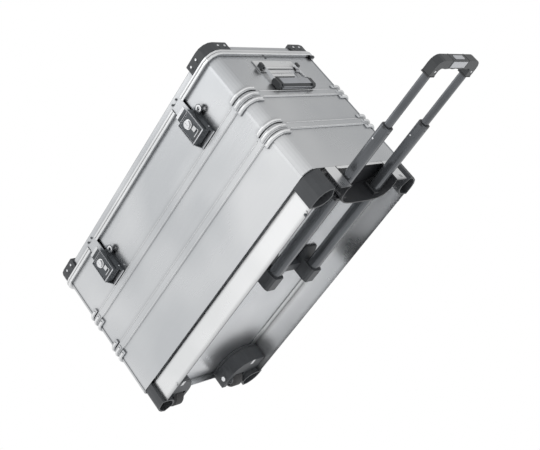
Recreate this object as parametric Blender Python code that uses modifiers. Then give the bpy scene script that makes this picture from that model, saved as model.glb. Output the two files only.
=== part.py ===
# Waterproof aluminium transport case on two wheels, with a telescopic tow handle.
# Case frame: X runs along the length from the wheel end to the handle end, Y from
# the front wall with the latches to the back wall with the hinges, Z up from the floor.
import math

import bmesh
import bpy
from mathutils import Matrix, Vector

# Driving sizes of the box, in metres
LENGTH = 0.756
WIDTH = 0.350
EDGE_Z = 0.057
PANEL_RISE = 0.0025
PARTING_Z = 0.405
RIM_HEIGHT = 0.007
LID_RIM_HEIGHT = 0.0062
LID_HEIGHT = 0.026
SHEET = 0.002
CORNER = 0.027
RIM_PROUD = 0.0086
RIM_ROUND = 0.0012
SEAL_WIDTH = 0.006
LID_ROUND = 0.004
FIELD_INSET = 0.046
FIELD_RISE = 0.0016
GAP = 0.0003
PARTING_GAP = 0.0006
OVERRUN = 0.004
DROP = 0.00006

# Swaged beads, measured down from the parting line, and corner ribs of the walls
UPPER_BEAD_DOWN = 0.128
LOWER_BEAD_DOWN = 0.226
BEAD_HEIGHT = 0.020
BEAD_PROUD = 0.003
RIB_PITCH = 0.016
RIB_HEIGHT = 0.0105
RIB_PROUD = 0.0052
RIB_LEG = 0.041
BEAD_SLOPE_SHARE = 0.9
RIB_SLOPE_SHARE = 0.6
POST_LEG = 0.020
POST_PROUD = 0.0009

# Skirts, corner feet and end strips under the floor panel
SKIRT_INSET = 0.0085
SKIRT_SHEET = 0.0025
SKIRT_FLANGE = 0.022
FOOT_LEG_X = 0.056
FOOT_LEG_Y = 0.050
FOOT_RADIUS = 0.036
FOOT_INNER_RADIUS = 0.030
FOOT_WALL = 0.0035
STRIP_MARGIN = 0.0055
STRIP_SHEET = 0.003
STRIP_FLANGE = 0.016

# Telescopic handle, drawn out: how far each part stands from the handle end
TUBE_SPACING = 0.136
TUBE_Z = 0.025
OUTER_SIZE = (0.0265, 0.0285)
MIDDLE_SIZE = (0.0225, 0.0245)
INNER_SIZE = (0.0150, 0.0160)
TUBE_WALL = 0.0013
OUTER_INSET = 0.0495
OUTER_LENGTH = 0.2825
MIDDLE_OUT = 0.142
INNER_OUT = 0.149
GRIP_BEYOND = 0.030
MIDDLE_OVERLAP = 0.040
INNER_OVERLAP = 0.032
GRIP_DEPTH = 0.0205
GRIP_THICK = 0.021
GRIP_ROUND = 0.003
SLEEVE_GRASP = 0.012
SLEEVE_WIDTH = 0.020
GRIP_CORNER = 0.020
GRIP_INNER_CORNER = 0.008
GRIP_WAVES = 4
GRIP_WAVE_DEPTH = 0.0014
WAVE_STEPS = 6
BUTTON_SIZE = (0.034, 0.011)
BUTTON_PROUD = 0.0015
BUTTON_PRESS = 0.003
BUTTON_RECESS = 0.0095
TUBE_ROUND_SHARE = 0.70
SHOE_LENGTH = 0.012

# Bowl that the grip sinks into
POCKET_HALF = 0.088
POCKET_MOUTH_HALF = 0.0822
POCKET_DEPTH = 0.059
POCKET_SIDE = 0.012
BOWL_POWER_SHARE = 0.60
BOWL_STEPS = 16
POCKET_ROOF_Z = 0.050
POCKET_WALL = 0.003
SOCKET_INSET = 0.055
SOCKET_DEPTH = 0.010
SOCKET_WALL = 0.0032

# Bracket that holds the inner ends of the tubes
BRACKET_BEFORE = 0.008
BRACKET_GRASP = 0.031
BRACKET_HALF = 0.0175
BRACKET_LOW_Z = 0.0065
BRACKET_CURVE = 0.012
SADDLE_GRASP = 0.061
SADDLE_LOW_Z = 0.041
SADDLE_TIP = 0.005
WEB_MARGIN = 0.005
WEB_LENGTH = 0.022
WEB_LOW_Z = 0.044

# Wheels and their housings
WHEEL_RADIUS = 0.025
WHEEL_WIDTH = 0.032
WHEEL_X = 0.019
WHEEL_Y = 0.070
TYRE_DEPTH = 0.0065
AXLE_RADIUS = 0.004
HOUSING_OUT = 0.005
HOUSING_END = 0.095
HOUSING_DEPTH = 0.100
HOUSING_LOW_Z = 0.0135
HOUSING_COVER_X = 0.050
HOUSING_COVER_LOW_Z = 0.0012
TYRE_ROUND = 0.005
WELL_CLEAR = 0.003
WELL_SIDE = 0.0012
HUB_STEP = 0.0025
HUB_DISH = 0.007
AXLE_HEAD = 0.003
HEAD_SHARE = 1.7
END_SKIRT_Z = 0.044
HOUSING_FLANGE = 0.003
HOUSING_CURVE = 0.050
HOUSING_ROUND = 0.004
WHEEL_SCREW_INSET = 0.112
FOOT_SCREW_INSET = 0.072
SCREW_LEVEL_SHARE = 1.2

# Lid corner protectors
PROTECTOR_LEG = 0.068
PROTECTOR_CLEAR = 0.0023
PROTECTOR_RISE = 0.009
PROTECTOR_PROUD = 0.0045
PROTECTOR_CAP = 0.026
PROTECTOR_RIVETS = (0.037, 0.057)
PROTECTOR_ROUND = 0.003

# Latches: heights down from the parting line or from the lever's top and bottom
LATCH_NEAR_INSET = 0.165
LATCH_FAR_INSET = 0.142
LATCH_HALF = 0.0235
LATCH_DOWN = 0.044
LATCH_HEIGHT = 0.0615
LATCH_FACE_Y = 0.0265
LATCH_PIVOT_RISE = 0.0055
LATCH_PIVOT_Y = 0.0085
BASE_HALF = 0.0275
BASE_BELOW = 0.0118
BASE_ABOVE = 0.0005
BASE_SHEET = 0.002
BASE_CORNER = 0.003
EAR_SHEET = 0.0022
EAR_REACH = 0.018
EAR_SLOPE = 0.012
LATCH_PIN_RADIUS = 0.0021
LEVER_BACK_Y = 0.0034
LEVER_HEEL = 0.0029
LEVER_WALL = 0.0055
LEVER_SIDE = 0.0026
FACE_RIM = 0.0028
FACE_RECESS = 0.0014
PAD_OFFSET = 0.005
PAD_HALF = 0.006
PAD_RISE = 0.0215
HOOK_PIVOT_DOWN = 0.010
BARREL_RADIUS = 0.0027
TRUNNION_RADIUS = 0.0016
TRUNNION_BITE = 0.0015
HOOK_ROUND_SHARE = 0.2
HOOK_HALF = 0.0165
HOOK_SHEET = 0.0022
HOOK_ABOVE = 0.0225
HOOK_Y = 0.0156
LOCK_RADIUS = 0.0093
LOCK_PROUD = 0.0034
LOCK_OFFSET = -0.001
LOCK_DOWN = 0.0205
KEYWAY = (0.0018, 0.009, 0.002)
EYE_WIDTH = 0.019
EYE_HOLE = 0.0038
EYE_Y = 0.008
EYE_ROUND_SHARE = 0.3
EYE_HOLE_SHARE = 0.58
STRIKE_OFFSET = -0.004
STRIKE_HALF = 0.0175
STRIKE_SHEET = 0.0022
STRIKE_DOWN = 0.0385
STRIKE_LIP = 0.0140
NOTCH_CLEAR = 0.0006
STRIKE_RIVETS = ((0.002, 0.0105), (-0.015, 0.0105), (-0.0095, 0.0160))

# Drop handles on the end walls: heights down from the parting line or from the plate's top
PLATE_HALF = 0.067
PLATE_DOWN = 0.024
PLATE_HEIGHT = 0.051
PLATE_SHEET = 0.0025
PLATE_STEP = (0.0435, 0.015)
HANDLE_RIVETS = ((-0.045, 0.006), (0.028, 0.006), (-0.009, 0.044), (0.045, 0.006))
BAIL_PIVOT_HALF = 0.0615
BAIL_PIVOT_DOWN = 0.0233
BAIL_OUT = 0.0085
BAIL_STRAP = (0.0035, 0.007)
BAIL_LENGTH = 0.0612
HANDGRIP_HALF = 0.062
HANDGRIP_SIZE = (0.015, 0.027)
HANDGRIP_CAP = 0.009
HANDGRIP_CUT = 0.004
PEG_RADIUS = 0.0028
PEG_SHARE = 0.35
KNUCKLE_RADIUS = 0.0055
KNUCKLE_LENGTH = 0.008

# Hinges on the back wall
HINGE_INSET = 0.161
HINGE_LENGTH = 0.070
HINGE_RADIUS = 0.0048
HINGE_OUT = 0.0150
HINGE_PIN = 0.0019
KNUCKLE_SHARE = 0.34
KNUCKLE_CLEAR_SHARE = 1.6
LEAF_SHEET = 0.002
LEAF_BODY_DOWN = 0.050
LEAF_LID_DOWN = 0.0065

# Fasteners
RIVET_RADIUS = 0.0028
RIVET_HEAD = 0.0015
DOME_SHARE = 0.6
SCREW_RADIUS = 0.0042
SCREW_HEAD = 0.0022
ROUND = 12
FINE = 24
SMALL_ROUND = 8
ARC_STEPS = 4
EDGE_ROUND = 0.0012

# Places worked out from the sizes above
MIDDLE_Y = WIDTH / 2
PANEL_Z = EDGE_Z + PANEL_RISE
RIM_Z = PARTING_Z - RIM_HEIGHT
LID_RIM_TOP = PARTING_Z + LID_RIM_HEIGHT
LID_TOP = PARTING_Z + LID_HEIGHT
BEAD_ZS = (PARTING_Z - UPPER_BEAD_DOWN, PARTING_Z - LOWER_BEAD_DOWN)
PROTECTOR_LOW_Z = LID_RIM_TOP + PROTECTOR_CLEAR
PROTECTOR_TOP_Z = LID_TOP + PROTECTOR_RISE
TUBE_YS = (MIDDLE_Y - TUBE_SPACING / 2, MIDDLE_Y + TUBE_SPACING / 2)
OUTER_END = LENGTH - OUTER_INSET
OUTER_START = OUTER_END - OUTER_LENGTH
MIDDLE_START = OUTER_END - MIDDLE_OVERLAP
MIDDLE_END = LENGTH + MIDDLE_OUT
INNER_START = MIDDLE_END - INNER_OVERLAP
INNER_END = MIDDLE_END + INNER_OUT
HANDLE_REACH = INNER_END + GRIP_BEYOND
SLEEVE_START = INNER_END - SLEEVE_GRASP
POCKET_BACK_X = LENGTH - POCKET_DEPTH
POCKET_SIDE_X = LENGTH - POCKET_SIDE
SOCKET_START = LENGTH - SOCKET_INSET
SOCKET_END = SOCKET_START + SOCKET_DEPTH
BRACKET_START = OUTER_START - BRACKET_BEFORE
BRACKET_END = OUTER_START + BRACKET_GRASP
SADDLE_END = OUTER_START + SADDLE_GRASP
SADDLE_TIP_Z = PANEL_Z - SADDLE_TIP
WEB_START = BRACKET_START + WEB_MARGIN
WEB_END = WEB_START + WEB_LENGTH
SKIRT_SCREW_XS = (WHEEL_SCREW_INSET, LENGTH - FOOT_SCREW_INSET)
LATCH_XS = (LATCH_NEAR_INSET, LENGTH - LATCH_FAR_INSET)
LATCH_TOP_Z = PARTING_Z - LATCH_DOWN
LATCH_LOW_Z = LATCH_TOP_Z - LATCH_HEIGHT
LATCH_PIVOT_Z = LATCH_LOW_Z + LATCH_PIVOT_RISE
BASE_TOP_Z = LATCH_TOP_Z + BASE_ABOVE
BASE_LOW_Z = LATCH_LOW_Z - BASE_BELOW
PAD_Z = LATCH_LOW_Z + PAD_RISE
HOOK_PIVOT_Z = LATCH_TOP_Z - HOOK_PIVOT_DOWN
HOOK_TOP_Z = LATCH_TOP_Z + HOOK_ABOVE
LOCK_Z = LATCH_TOP_Z - LOCK_DOWN
STRIKE_LOW_Z = PARTING_Z - STRIKE_DOWN
PLATE_TOP_Z = PARTING_Z - PLATE_DOWN
PLATE_LOW_Z = PLATE_TOP_Z - PLATE_HEIGHT
BAIL_PIVOT_Z = PLATE_TOP_Z - BAIL_PIVOT_DOWN
BAIL_LOW_Z = BAIL_PIVOT_Z - BAIL_LENGTH
HINGE_XS = (HINGE_INSET, LENGTH - HINGE_INSET)
LEAF_BODY_Z = PARTING_Z - LEAF_BODY_DOWN
LEAF_LID_Z = LID_TOP - LEAF_LID_DOWN
HINGE_Y = WIDTH + HINGE_OUT
HINGE_Z = PARTING_Z
HANDLE_OUT = BAIL_OUT + HANDGRIP_SIZE[0] / 2
LOW_X = -HANDLE_OUT
LOW_Y = -(LATCH_FACE_Y + LOCK_PROUD)
HIGH_Y = HINGE_Y + HINGE_RADIUS
HIGH_X = HANDLE_REACH + BUTTON_PROUD
FRAME_SHIFT = (-(LOW_X + HIGH_X) / 2, -(LOW_Y + HIGH_Y) / 2, 0)

for old in list(bpy.data.objects):
    bpy.data.objects.remove(old)
parts = bpy.data.collections.new("transport_case")
cutters = bpy.data.collections.new("cutters")
bpy.context.scene.collection.children.link(parts)
bpy.context.scene.collection.children.link(cutters)
case_frame = bpy.data.objects.new("case_frame", None)
case_frame.location = FRAME_SHIFT
parts.objects.link(case_frame)


def look(name, colour, roughness, metallic=0.0):
    """A Principled material."""
    made = bpy.data.materials.new(name)
    made.use_nodes = True
    shader = made.node_tree.nodes["Principled BSDF"]
    shader.inputs["Base Color"].default_value = (*colour, 1)
    shader.inputs["Roughness"].default_value = roughness
    shader.inputs["Metallic"].default_value = metallic
    return made


ALUMINIUM = look("aluminium", (0.80, 0.81, 0.82), 0.30, 1.0)
STEEL = look("steel", (0.72, 0.73, 0.75), 0.22, 1.0)
CHROME = look("chrome", (0.85, 0.86, 0.88), 0.10, 1.0)
DARK_METAL = look("dark_metal", (0.09, 0.10, 0.11), 0.38, 0.6)
BLACK_PLASTIC = look("black_plastic", (0.05, 0.053, 0.057), 0.45)
RUBBER = look("rubber", (0.03, 0.03, 0.032), 0.75)
GREY_PLASTIC = look("grey_plastic", (0.55, 0.56, 0.58), 0.40)


def place(name, mesh, finish=None, at=(0, 0, 0)):
    """An object of the model or, with no finish, a cutter."""
    piece = bpy.data.objects.new(name, mesh)
    (parts if finish else cutters).objects.link(piece)
    piece.parent = case_frame
    piece.location = at
    if finish:
        mesh.materials.append(finish)
    else:
        piece.hide_render = True
        piece.display_type = "WIRE"
    return piece


def mesh_of(name, form):
    """Closes a bmesh into a mesh with its faces pointing out."""
    bmesh.ops.recalc_face_normals(form, faces=form.faces)
    mesh = bpy.data.meshes.new(name)
    form.to_mesh(mesh)
    form.free()
    return mesh


def box_form(low, high, rounding=0.0, steps=1):
    """A bmesh box between two corners, its edges rounded."""
    low, high = Vector(low), Vector(high)
    form = bmesh.new()
    bmesh.ops.create_cube(form, size=2)
    bmesh.ops.scale(form, vec=(high - low) / 2, verts=form.verts)
    if rounding:
        bmesh.ops.bevel(form, geom=form.edges, offset=rounding, segments=steps, profile=0.5,
                        affect="EDGES", clamp_overlap=True)
    bmesh.ops.translate(form, vec=(low + high) / 2, verts=form.verts)
    return form


def box(name, low, high, finish=None, rounding=0.0, steps=1):
    return place(name, mesh_of(name, box_form(low, high, rounding, steps)), finish)


TURN_TO = {
    "X": Matrix.Rotation(math.pi / 2, 4, "Y"),
    "Y": Matrix.Rotation(-math.pi / 2, 4, "X"),
    "Z": Matrix(),
}


def rod_form(centre, radius, length, axis, sides=ROUND, end_radius=None):
    """A cylinder, or a cone frustum, about its centre along an axis."""
    form = bmesh.new()
    bmesh.ops.create_cone(form, cap_ends=True, segments=sides, radius1=radius,
                          radius2=radius if end_radius is None else end_radius, depth=length)
    bmesh.ops.transform(form, matrix=Matrix.Translation(centre) @ TURN_TO[axis], verts=form.verts)
    return form


def rod(name, centre, radius, length, axis, finish=None, sides=ROUND):
    return place(name, mesh_of(name, rod_form(centre, radius, length, axis, sides)), finish)


def group(name, forms):
    """One cutter made of several separate solids."""
    whole = bmesh.new()
    for form in forms:
        bmesh.ops.recalc_face_normals(form, faces=form.faces)
        mesh = bpy.data.meshes.new(name)
        form.to_mesh(mesh)
        form.free()
        whole.from_mesh(mesh)
        bpy.data.meshes.remove(mesh)
    mesh = bpy.data.meshes.new(name)
    whole.to_mesh(mesh)
    whole.free()
    return place(name, mesh)


def merge(piece, forms):
    """Joins solids to a piece that they overlap."""
    return boolean(piece, group(f"{piece.name}_joined_{len(piece.modifiers)}", forms), "UNION", "MANIFOLD")


def carve(piece, forms):
    """Cuts solids out of a piece."""
    return boolean(piece, group(f"{piece.name}_cut_{len(piece.modifiers)}", forms), "DIFFERENCE", "MANIFOLD")


PLANES = {
    "XY": Matrix(),
    "YZ": Matrix(((0, 0, 1), (1, 0, 0), (0, 1, 0))).to_4x4(),
    "XZ": Matrix(((1, 0, 0), (0, 0, -1), (0, 1, 0))).to_4x4(),
}


def outline_form(loops, low, high, plane="XY", rounding=0.0):
    """A flat outline, with holes if there is more than one loop, drawn out between low and high."""
    curve = bpy.data.curves.new("outline", "CURVE")
    curve.dimensions = "2D"
    curve.fill_mode = "BOTH"
    curve.extrude = (high - low) / 2
    for loop in loops:
        spline = curve.splines.new("POLY")
        spline.points.add(len(loop) - 1)
        spline.use_cyclic_u = True
        for point, (across, up) in zip(spline.points, loop):
            point.co = (across, up, 0, 1)
    drawn = bpy.data.objects.new("outline", curve)
    cutters.objects.link(drawn)
    middle = (low + high) / 2
    level = {"XY": (0, 0, middle), "YZ": (middle, 0, 0), "XZ": (0, middle, 0)}[plane]
    drawn.matrix_world = Matrix.Translation(level) @ PLANES[plane]
    bpy.context.view_layer.update()
    shape = bpy.data.meshes.new_from_object(drawn.evaluated_get(bpy.context.evaluated_depsgraph_get()))
    form = bmesh.new()
    form.from_mesh(shape)
    bmesh.ops.remove_doubles(form, verts=form.verts, dist=DROP)
    bmesh.ops.transform(form, matrix=drawn.matrix_world, verts=form.verts)
    bpy.data.objects.remove(drawn)
    bpy.data.curves.remove(curve)
    bpy.data.meshes.remove(shape)
    bmesh.ops.recalc_face_normals(form, faces=form.faces)
    if rounding:
        sharp = [edge for edge in form.edges if edge.calc_face_angle(0) > math.radians(60)]
        bmesh.ops.bevel(form, geom=sharp, offset=rounding, segments=1, profile=0.5, affect="EDGES",
                        clamp_overlap=True)
    return form


def plate(name, loops, low, high, plane="XY", finish=None, rounding=0.0):
    return place(name, mesh_of(name, outline_form(loops, low, high, plane, rounding)), finish)


def boolean(piece, tool, operation="DIFFERENCE", solver="EXACT"):
    """A live Boolean; the tool is in the cutters' collection."""
    change = piece.modifiers.new(operation.lower(), "BOOLEAN")
    change.operation = operation
    change.object = tool
    change.solver = solver
    return piece


def turned(name, profile, at, axis, finish=None, sides=ROUND):
    """A closed profile of (radius, height) pairs turned about an axis with a Screw modifier."""
    mesh = bpy.data.meshes.new(name)
    count = len(profile)
    corners = [(radius, 0, height) for radius, height in profile]
    mesh.from_pydata(corners, [(i, (i + 1) % count) for i in range(count)], [])
    piece = place(name, mesh, finish, at)
    piece.rotation_euler = TURN_TO[axis].to_euler()
    spin = piece.modifiers.new("spin", "SCREW")
    spin.steps = spin.render_steps = sides
    spin.use_merge_vertices = True
    spin.merge_threshold = DROP
    return piece


def arc(centre, radius, start, end, steps=ARC_STEPS):
    """Points of an arc between two angles in degrees."""
    angles = [math.radians(start + (end - start) * i / steps) for i in range(steps + 1)]
    return [(centre[0] + radius * math.cos(a), centre[1] + radius * math.sin(a)) for a in angles]


def rounded(left, low, right, high, radius, steps=ARC_STEPS):
    """A rectangle with round corners."""
    return (arc((right - radius, low + radius), radius, -90, 0, steps)
            + arc((right - radius, high - radius), radius, 0, 90, steps)
            + arc((left + radius, high - radius), radius, 90, 180, steps)
            + arc((left + radius, low + radius), radius, 180, 270, steps))


def case_outline(out):
    """The case in plan, moved outward by a distance."""
    return rounded(-out, -out, LENGTH + out, WIDTH + out, max(CORNER + out, SHEET))


def at_corner(side_x, side_y, points):
    """Points given as distances in from a corner's sharp meeting, put at that corner."""
    return [(x if side_x < 0 else LENGTH - x, y if side_y < 0 else WIDTH - y) for x, y in points]


CORNERS = [(-1, -1), (1, -1), (1, 1), (-1, 1)]


def corner_band(leg, out, depth):
    """An L in plan that hugs a corner: outer face moved out, inner face inside the wall."""
    inner = max(CORNER - depth, DROP)
    trim = math.degrees(math.asin(max(CORNER - leg, 0) / CORNER))
    outer_arc = arc((CORNER, CORNER), CORNER + out, 270 - trim, 180 + trim)
    inner_arc = arc((CORNER, CORNER), inner, 180 + trim, 270 - trim)
    if leg < CORNER:
        return outer_arc + inner_arc
    return [(leg, -out)] + outer_arc + [(-out, leg), (depth, leg)] + inner_arc + [(leg, depth)]


spots = {}


def pivot(name, at, above=None):
    """An empty on a joint's axis; pieces hung on it move together."""
    empty = bpy.data.objects.new(name, None)
    parts.objects.link(empty)
    empty.parent = bpy.data.objects[above] if above else case_frame
    empty.location = Vector(at) - spots.get(above, Vector())
    spots[name] = Vector(at)
    return name


def hang(name, *pieces):
    """Hangs pieces, drawn in the case frame, on a pivot."""
    for piece in pieces:
        piece.parent = bpy.data.objects[name]
        piece.location = piece.location - spots[name]


def soften(form, test, size, steps=1):
    """Bevels the sharp edges whose ends both pass a test."""
    chosen = [edge for edge in form.edges if all(test(vert.co) for vert in edge.verts)
              and edge.calc_face_angle(0) > math.radians(50)]
    bmesh.ops.bevel(form, geom=chosen, offset=size, segments=steps, profile=0.5, affect="EDGES",
                    clamp_overlap=True)
    return form


def strip_outline(path, thickness):
    """A bent strip seen edge on: the path and its copy moved to the path's left."""
    points = [Vector(point) for point in path]
    normals = []
    for start, end in zip(points, points[1:]):
        along = (end - start).normalized()
        normals.append(Vector((-along.y, along.x)))
    side = []
    for i, point in enumerate(points):
        before = normals[max(i - 1, 0)]
        after = normals[min(i, len(normals) - 1)]
        mitre = (before + after).normalized()
        side.append(point + mitre * (thickness / mitre.dot(after)))
    return [tuple(point) for point in points + side[::-1]]


def mirror_y(points):
    """Plan points moved to the other side of the case."""
    return [(x, WIDTH - y) for x, y in points]


def mirror_across(points):
    """End-view points moved to the other side of the case."""
    return [(WIDTH - y, z) for y, z in points]


def dome(centre, outward, radius=RIVET_RADIUS, height=RIVET_HEAD):
    """A low rivet head whose flat side is at the centre and whose top faces outward."""
    axis = "XYZ"[[abs(part) for part in outward].index(1)]
    middle = Vector(centre) + Vector(outward) * height / 2
    form = rod_form((0, 0, 0), radius, height, "Z", SMALL_ROUND, radius * DOME_SHARE)
    turn = Vector((0, 0, 1)).rotation_difference(Vector(outward)).to_matrix().to_4x4()
    bmesh.ops.transform(form, matrix=Matrix.Translation(middle) @ turn, verts=form.verts)
    return form


def outside(spot):
    """Whether a point lies outside the walls' outer faces."""
    across = max(CORNER - spot.x, spot.x - LENGTH + CORNER, 0)
    along = max(CORNER - spot.y, spot.y - WIDTH + CORNER, 0)
    return math.hypot(across, along) > CORNER + DROP


# Box
def body():
    """Walls with swaged beads, rib clusters and posts at the corners."""
    top = PARTING_Z - PARTING_GAP / 2
    shell = plate("body_shell", [case_outline(0)], EDGE_Z, top, finish=ALUMINIUM)
    beads, ribs, posts = [], [], []
    for level in BEAD_ZS:
        low, high = level - BEAD_HEIGHT / 2, level + BEAD_HEIGHT / 2
        beads.append(outline_form([case_outline(BEAD_PROUD)], low, high, rounding=BEAD_PROUD * BEAD_SLOPE_SHARE))
        for side_x, side_y in CORNERS:
            band = at_corner(side_x, side_y, corner_band(RIB_LEG, RIB_PROUD, SHEET / 2))
            for step in (-1, 0, 1):
                middle = level + step * RIB_PITCH
                rib = outline_form([band], middle - RIB_HEIGHT / 2, middle + RIB_HEIGHT / 2)
                ribs.append(soften(rib, outside, RIB_PROUD * RIB_SLOPE_SHARE))
    for side_x, side_y in CORNERS:
        band = at_corner(side_x, side_y, corner_band(POST_LEG, POST_PROUD, SHEET / 2))
        posts.append(outline_form([band], EDGE_Z + POST_PROUD, RIM_Z - GAP))
    merge(shell, posts)
    merge(shell, beads)
    merge(shell, ribs)
    apron_y = HOUSING_DEPTH + HOUSING_FLANGE + GAP
    merge(shell, [box_form((0, apron_y, END_SKIRT_Z), (SHEET, WIDTH - apron_y, EDGE_Z + OVERRUN))])
    carve(shell, [outline_form([case_outline(-SHEET)], EDGE_Z - OVERRUN, LID_TOP)])
    plate("bottom_panel", [case_outline(-SHEET - GAP)], PANEL_Z, PANEL_Z + SHEET, finish=ALUMINIUM)


def ring(name, out, inner, low, high, finish, rounding=0.0):
    """A band round the case between two outlines."""
    made = plate(name, [case_outline(out)], low, high, finish=finish, rounding=rounding)
    return boolean(made, plate(name + "_tool", [case_outline(inner)], low - OVERRUN, high + OVERRUN))


def strike_middle(latch_x):
    return latch_x + STRIKE_OFFSET


def notch(name, latch_x, back, low, high):
    """Clear way in the rims for a strike plate."""
    middle = strike_middle(latch_x)
    half = STRIKE_HALF + NOTCH_CLEAR
    return box(name, (middle - half, -RIM_PROUD - OVERRUN, low), (middle + half, back, high))


def rims():
    low, high = PARTING_Z - PARTING_GAP / 2, PARTING_Z + PARTING_GAP / 2
    lower = ring("body_rim", RIM_PROUD, GAP, RIM_Z, low, ALUMINIUM, RIM_ROUND)
    upper = ring("lid_rim", RIM_PROUD, GAP, high, LID_RIM_TOP, ALUMINIUM, RIM_ROUND)
    seal = ring("lid_seal", -SHEET - GAP, -SHEET - GAP - SEAL_WIDTH, high, LID_RIM_TOP, RUBBER)
    back = 2 * STRIKE_SHEET - RIM_PROUD + NOTCH_CLEAR
    leaf = LID_RIM_TOP - STRIKE_SHEET - GAP * 2
    for i, latch_x in enumerate(LATCH_XS):
        boolean(lower, notch(f"body_notch_{i}", latch_x, back, RIM_Z - OVERRUN, low + OVERRUN))
        boolean(upper, notch(f"lid_notch_{i}", latch_x, back, high - OVERRUN, LID_RIM_TOP + OVERRUN))
        boolean(upper, notch(f"leaf_notch_{i}", latch_x, 0, leaf, LID_RIM_TOP + OVERRUN))
    hang("lid_pivot", upper, seal)


def lid():
    """Shallow tray with a raised field on top."""
    bottom = PARTING_Z + PARTING_GAP / 2
    form = outline_form([case_outline(0)], bottom, LID_TOP)
    soften(form, lambda spot: spot.z > LID_TOP - DROP, LID_ROUND, 2)
    tray = place("lid_shell", mesh_of("lid_shell", form), ALUMINIUM)
    field = outline_form([case_outline(-FIELD_INSET)], LID_TOP - SHEET / 2, LID_TOP + FIELD_RISE)
    merge(tray, [field])
    merge(tray, [dome((strike_middle(middle) + offset, GAP, LID_TOP - down), (0, -1, 0))
                 for middle in LATCH_XS for offset, down in STRIKE_RIVETS])
    carve(tray, [outline_form([case_outline(-SHEET)], bottom - OVERRUN, LID_TOP - SHEET)])
    hang("lid_pivot", tray)


def protectors():
    """Moulded caps over the lid's corners with two rivets in each leg."""
    level = (PROTECTOR_LOW_Z + LID_TOP) / 2
    sunk = PROTECTOR_PROUD - GAP
    for label, (side_x, side_y) in zip("abcd", CORNERS):
        band = corner_band(PROTECTOR_LEG, PROTECTOR_PROUD, PROTECTOR_CAP)
        form = outline_form([at_corner(side_x, side_y, band)], PROTECTOR_LOW_Z, PROTECTOR_TOP_Z)
        soften(form, lambda spot: spot.z > PROTECTOR_TOP_Z - DROP, PROTECTOR_ROUND, 2)
        name = f"lid_protector_{label}"
        cap = place(name, mesh_of(name, form), BLACK_PLASTIC)
        carve(cap, [outline_form([case_outline(GAP)], PROTECTOR_LOW_Z - OVERRUN, LID_TOP + GAP)])
        carve(cap, [outline_form([case_outline(-FIELD_INSET + GAP)], LID_TOP, LID_TOP + FIELD_RISE + GAP)])
        heads = []
        for reach in PROTECTOR_RIVETS:
            for spot, outward in (((reach, -sunk), (0, side_y, 0)), ((-sunk, reach), (side_x, 0, 0))):
                heads.append(dome((*at_corner(side_x, side_y, [spot])[0], level), outward))
        merge(cap, heads)
        hang("lid_pivot", cap)


def underside():
    """Skirts, corner feet and end strips below the floor panel."""
    top = PANEL_Z - GAP
    back = SKIRT_INSET + SKIRT_SHEET
    angle = [(SKIRT_INSET, 0), (SKIRT_INSET, top), (SKIRT_INSET + SKIRT_FLANGE, top),
             (SKIRT_INSET + SKIRT_FLANGE, top - SKIRT_SHEET), (back, top - SKIRT_SHEET), (back, 0)]
    start, end = HOUSING_COVER_X + GAP, LENGTH - FOOT_LEG_X - GAP
    for name, side_y in (("front_skirt", -1), ("back_skirt", 1)):
        outline = angle if side_y < 0 else mirror_across(angle)
        skirt = plate(name, [outline], start, end, "YZ", ALUMINIUM)
        clear = box_form((0, back, 0), (HOUSING_END + HOUSING_FLANGE + GAP, WIDTH - back, top + OVERRUN))
        carve(skirt, [clear])
        face = SKIRT_INSET + GAP if side_y < 0 else WIDTH - SKIRT_INSET - GAP
        merge(skirt, [dome((x, face, SCREW_RADIUS * SCREW_LEVEL_SHARE), (0, side_y, 0), SCREW_RADIUS, SCREW_HEAD)
                      for x in SKIRT_SCREW_XS])
    for label, side_y in (("a", -1), ("b", 1)):
        foot(f"corner_foot_{label}", 1, side_y)
        end_strip(f"end_strip_{label}", side_y)


def foot_outline(inset=0.0, leg_x=FOOT_LEG_X):
    """A corner foot in plan, as distances in from the corner."""
    far_x, far_y = leg_x - inset, FOOT_LEG_Y - inset
    inner = FOOT_INNER_RADIUS - inset / 2
    return ([(far_x, inset)] + arc((FOOT_RADIUS, FOOT_RADIUS), FOOT_RADIUS - inset, 270, 180)
            + arc((far_x - inner, far_y - inner), inner, 90, 0))


def foot(name, side_x, side_y):
    """A hollow moulded foot with a plug that reaches up to the floor panel."""
    made = plate(name, [at_corner(side_x, side_y, foot_outline())], 0, EDGE_Z - GAP, finish=BLACK_PLASTIC)
    plug = at_corner(side_x, side_y, foot_outline(FOOT_WALL))
    boolean(made, plate(name + "_plug", [plug], EDGE_Z - OVERRUN, PANEL_Z - GAP), "UNION")
    hollow = at_corner(side_x, side_y, foot_outline(FOOT_WALL + GAP))
    boolean(made, plate(name + "_hollow", [hollow], -OVERRUN, EDGE_Z - FOOT_WALL * 2))


def end_strip(name, side_y):
    """A bent strip on the end face between a foot and the bowl."""
    top, under = PANEL_Z - GAP, EDGE_Z - GAP
    inside = LENGTH - SHEET - GAP
    back = LENGTH - STRIP_SHEET
    outline = [(LENGTH, 0), (LENGTH, under), (inside, under), (inside, top), (back - STRIP_FLANGE, top),
               (back - STRIP_FLANGE, under), (back, under - SHEET), (back, 0)]
    inner = MIDDLE_Y - POCKET_MOUTH_HALF - GAP
    low, high = FOOT_LEG_Y + STRIP_MARGIN, inner
    if side_y > 0:
        low, high = WIDTH - high, WIDTH - low
    strip = plate(name, [outline], low, high, "XZ", ALUMINIUM)
    carve(strip, [outline_form([bowl_outline(-GAP, LENGTH + OVERRUN)], -OVERRUN, PANEL_Z + OVERRUN)])


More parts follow.
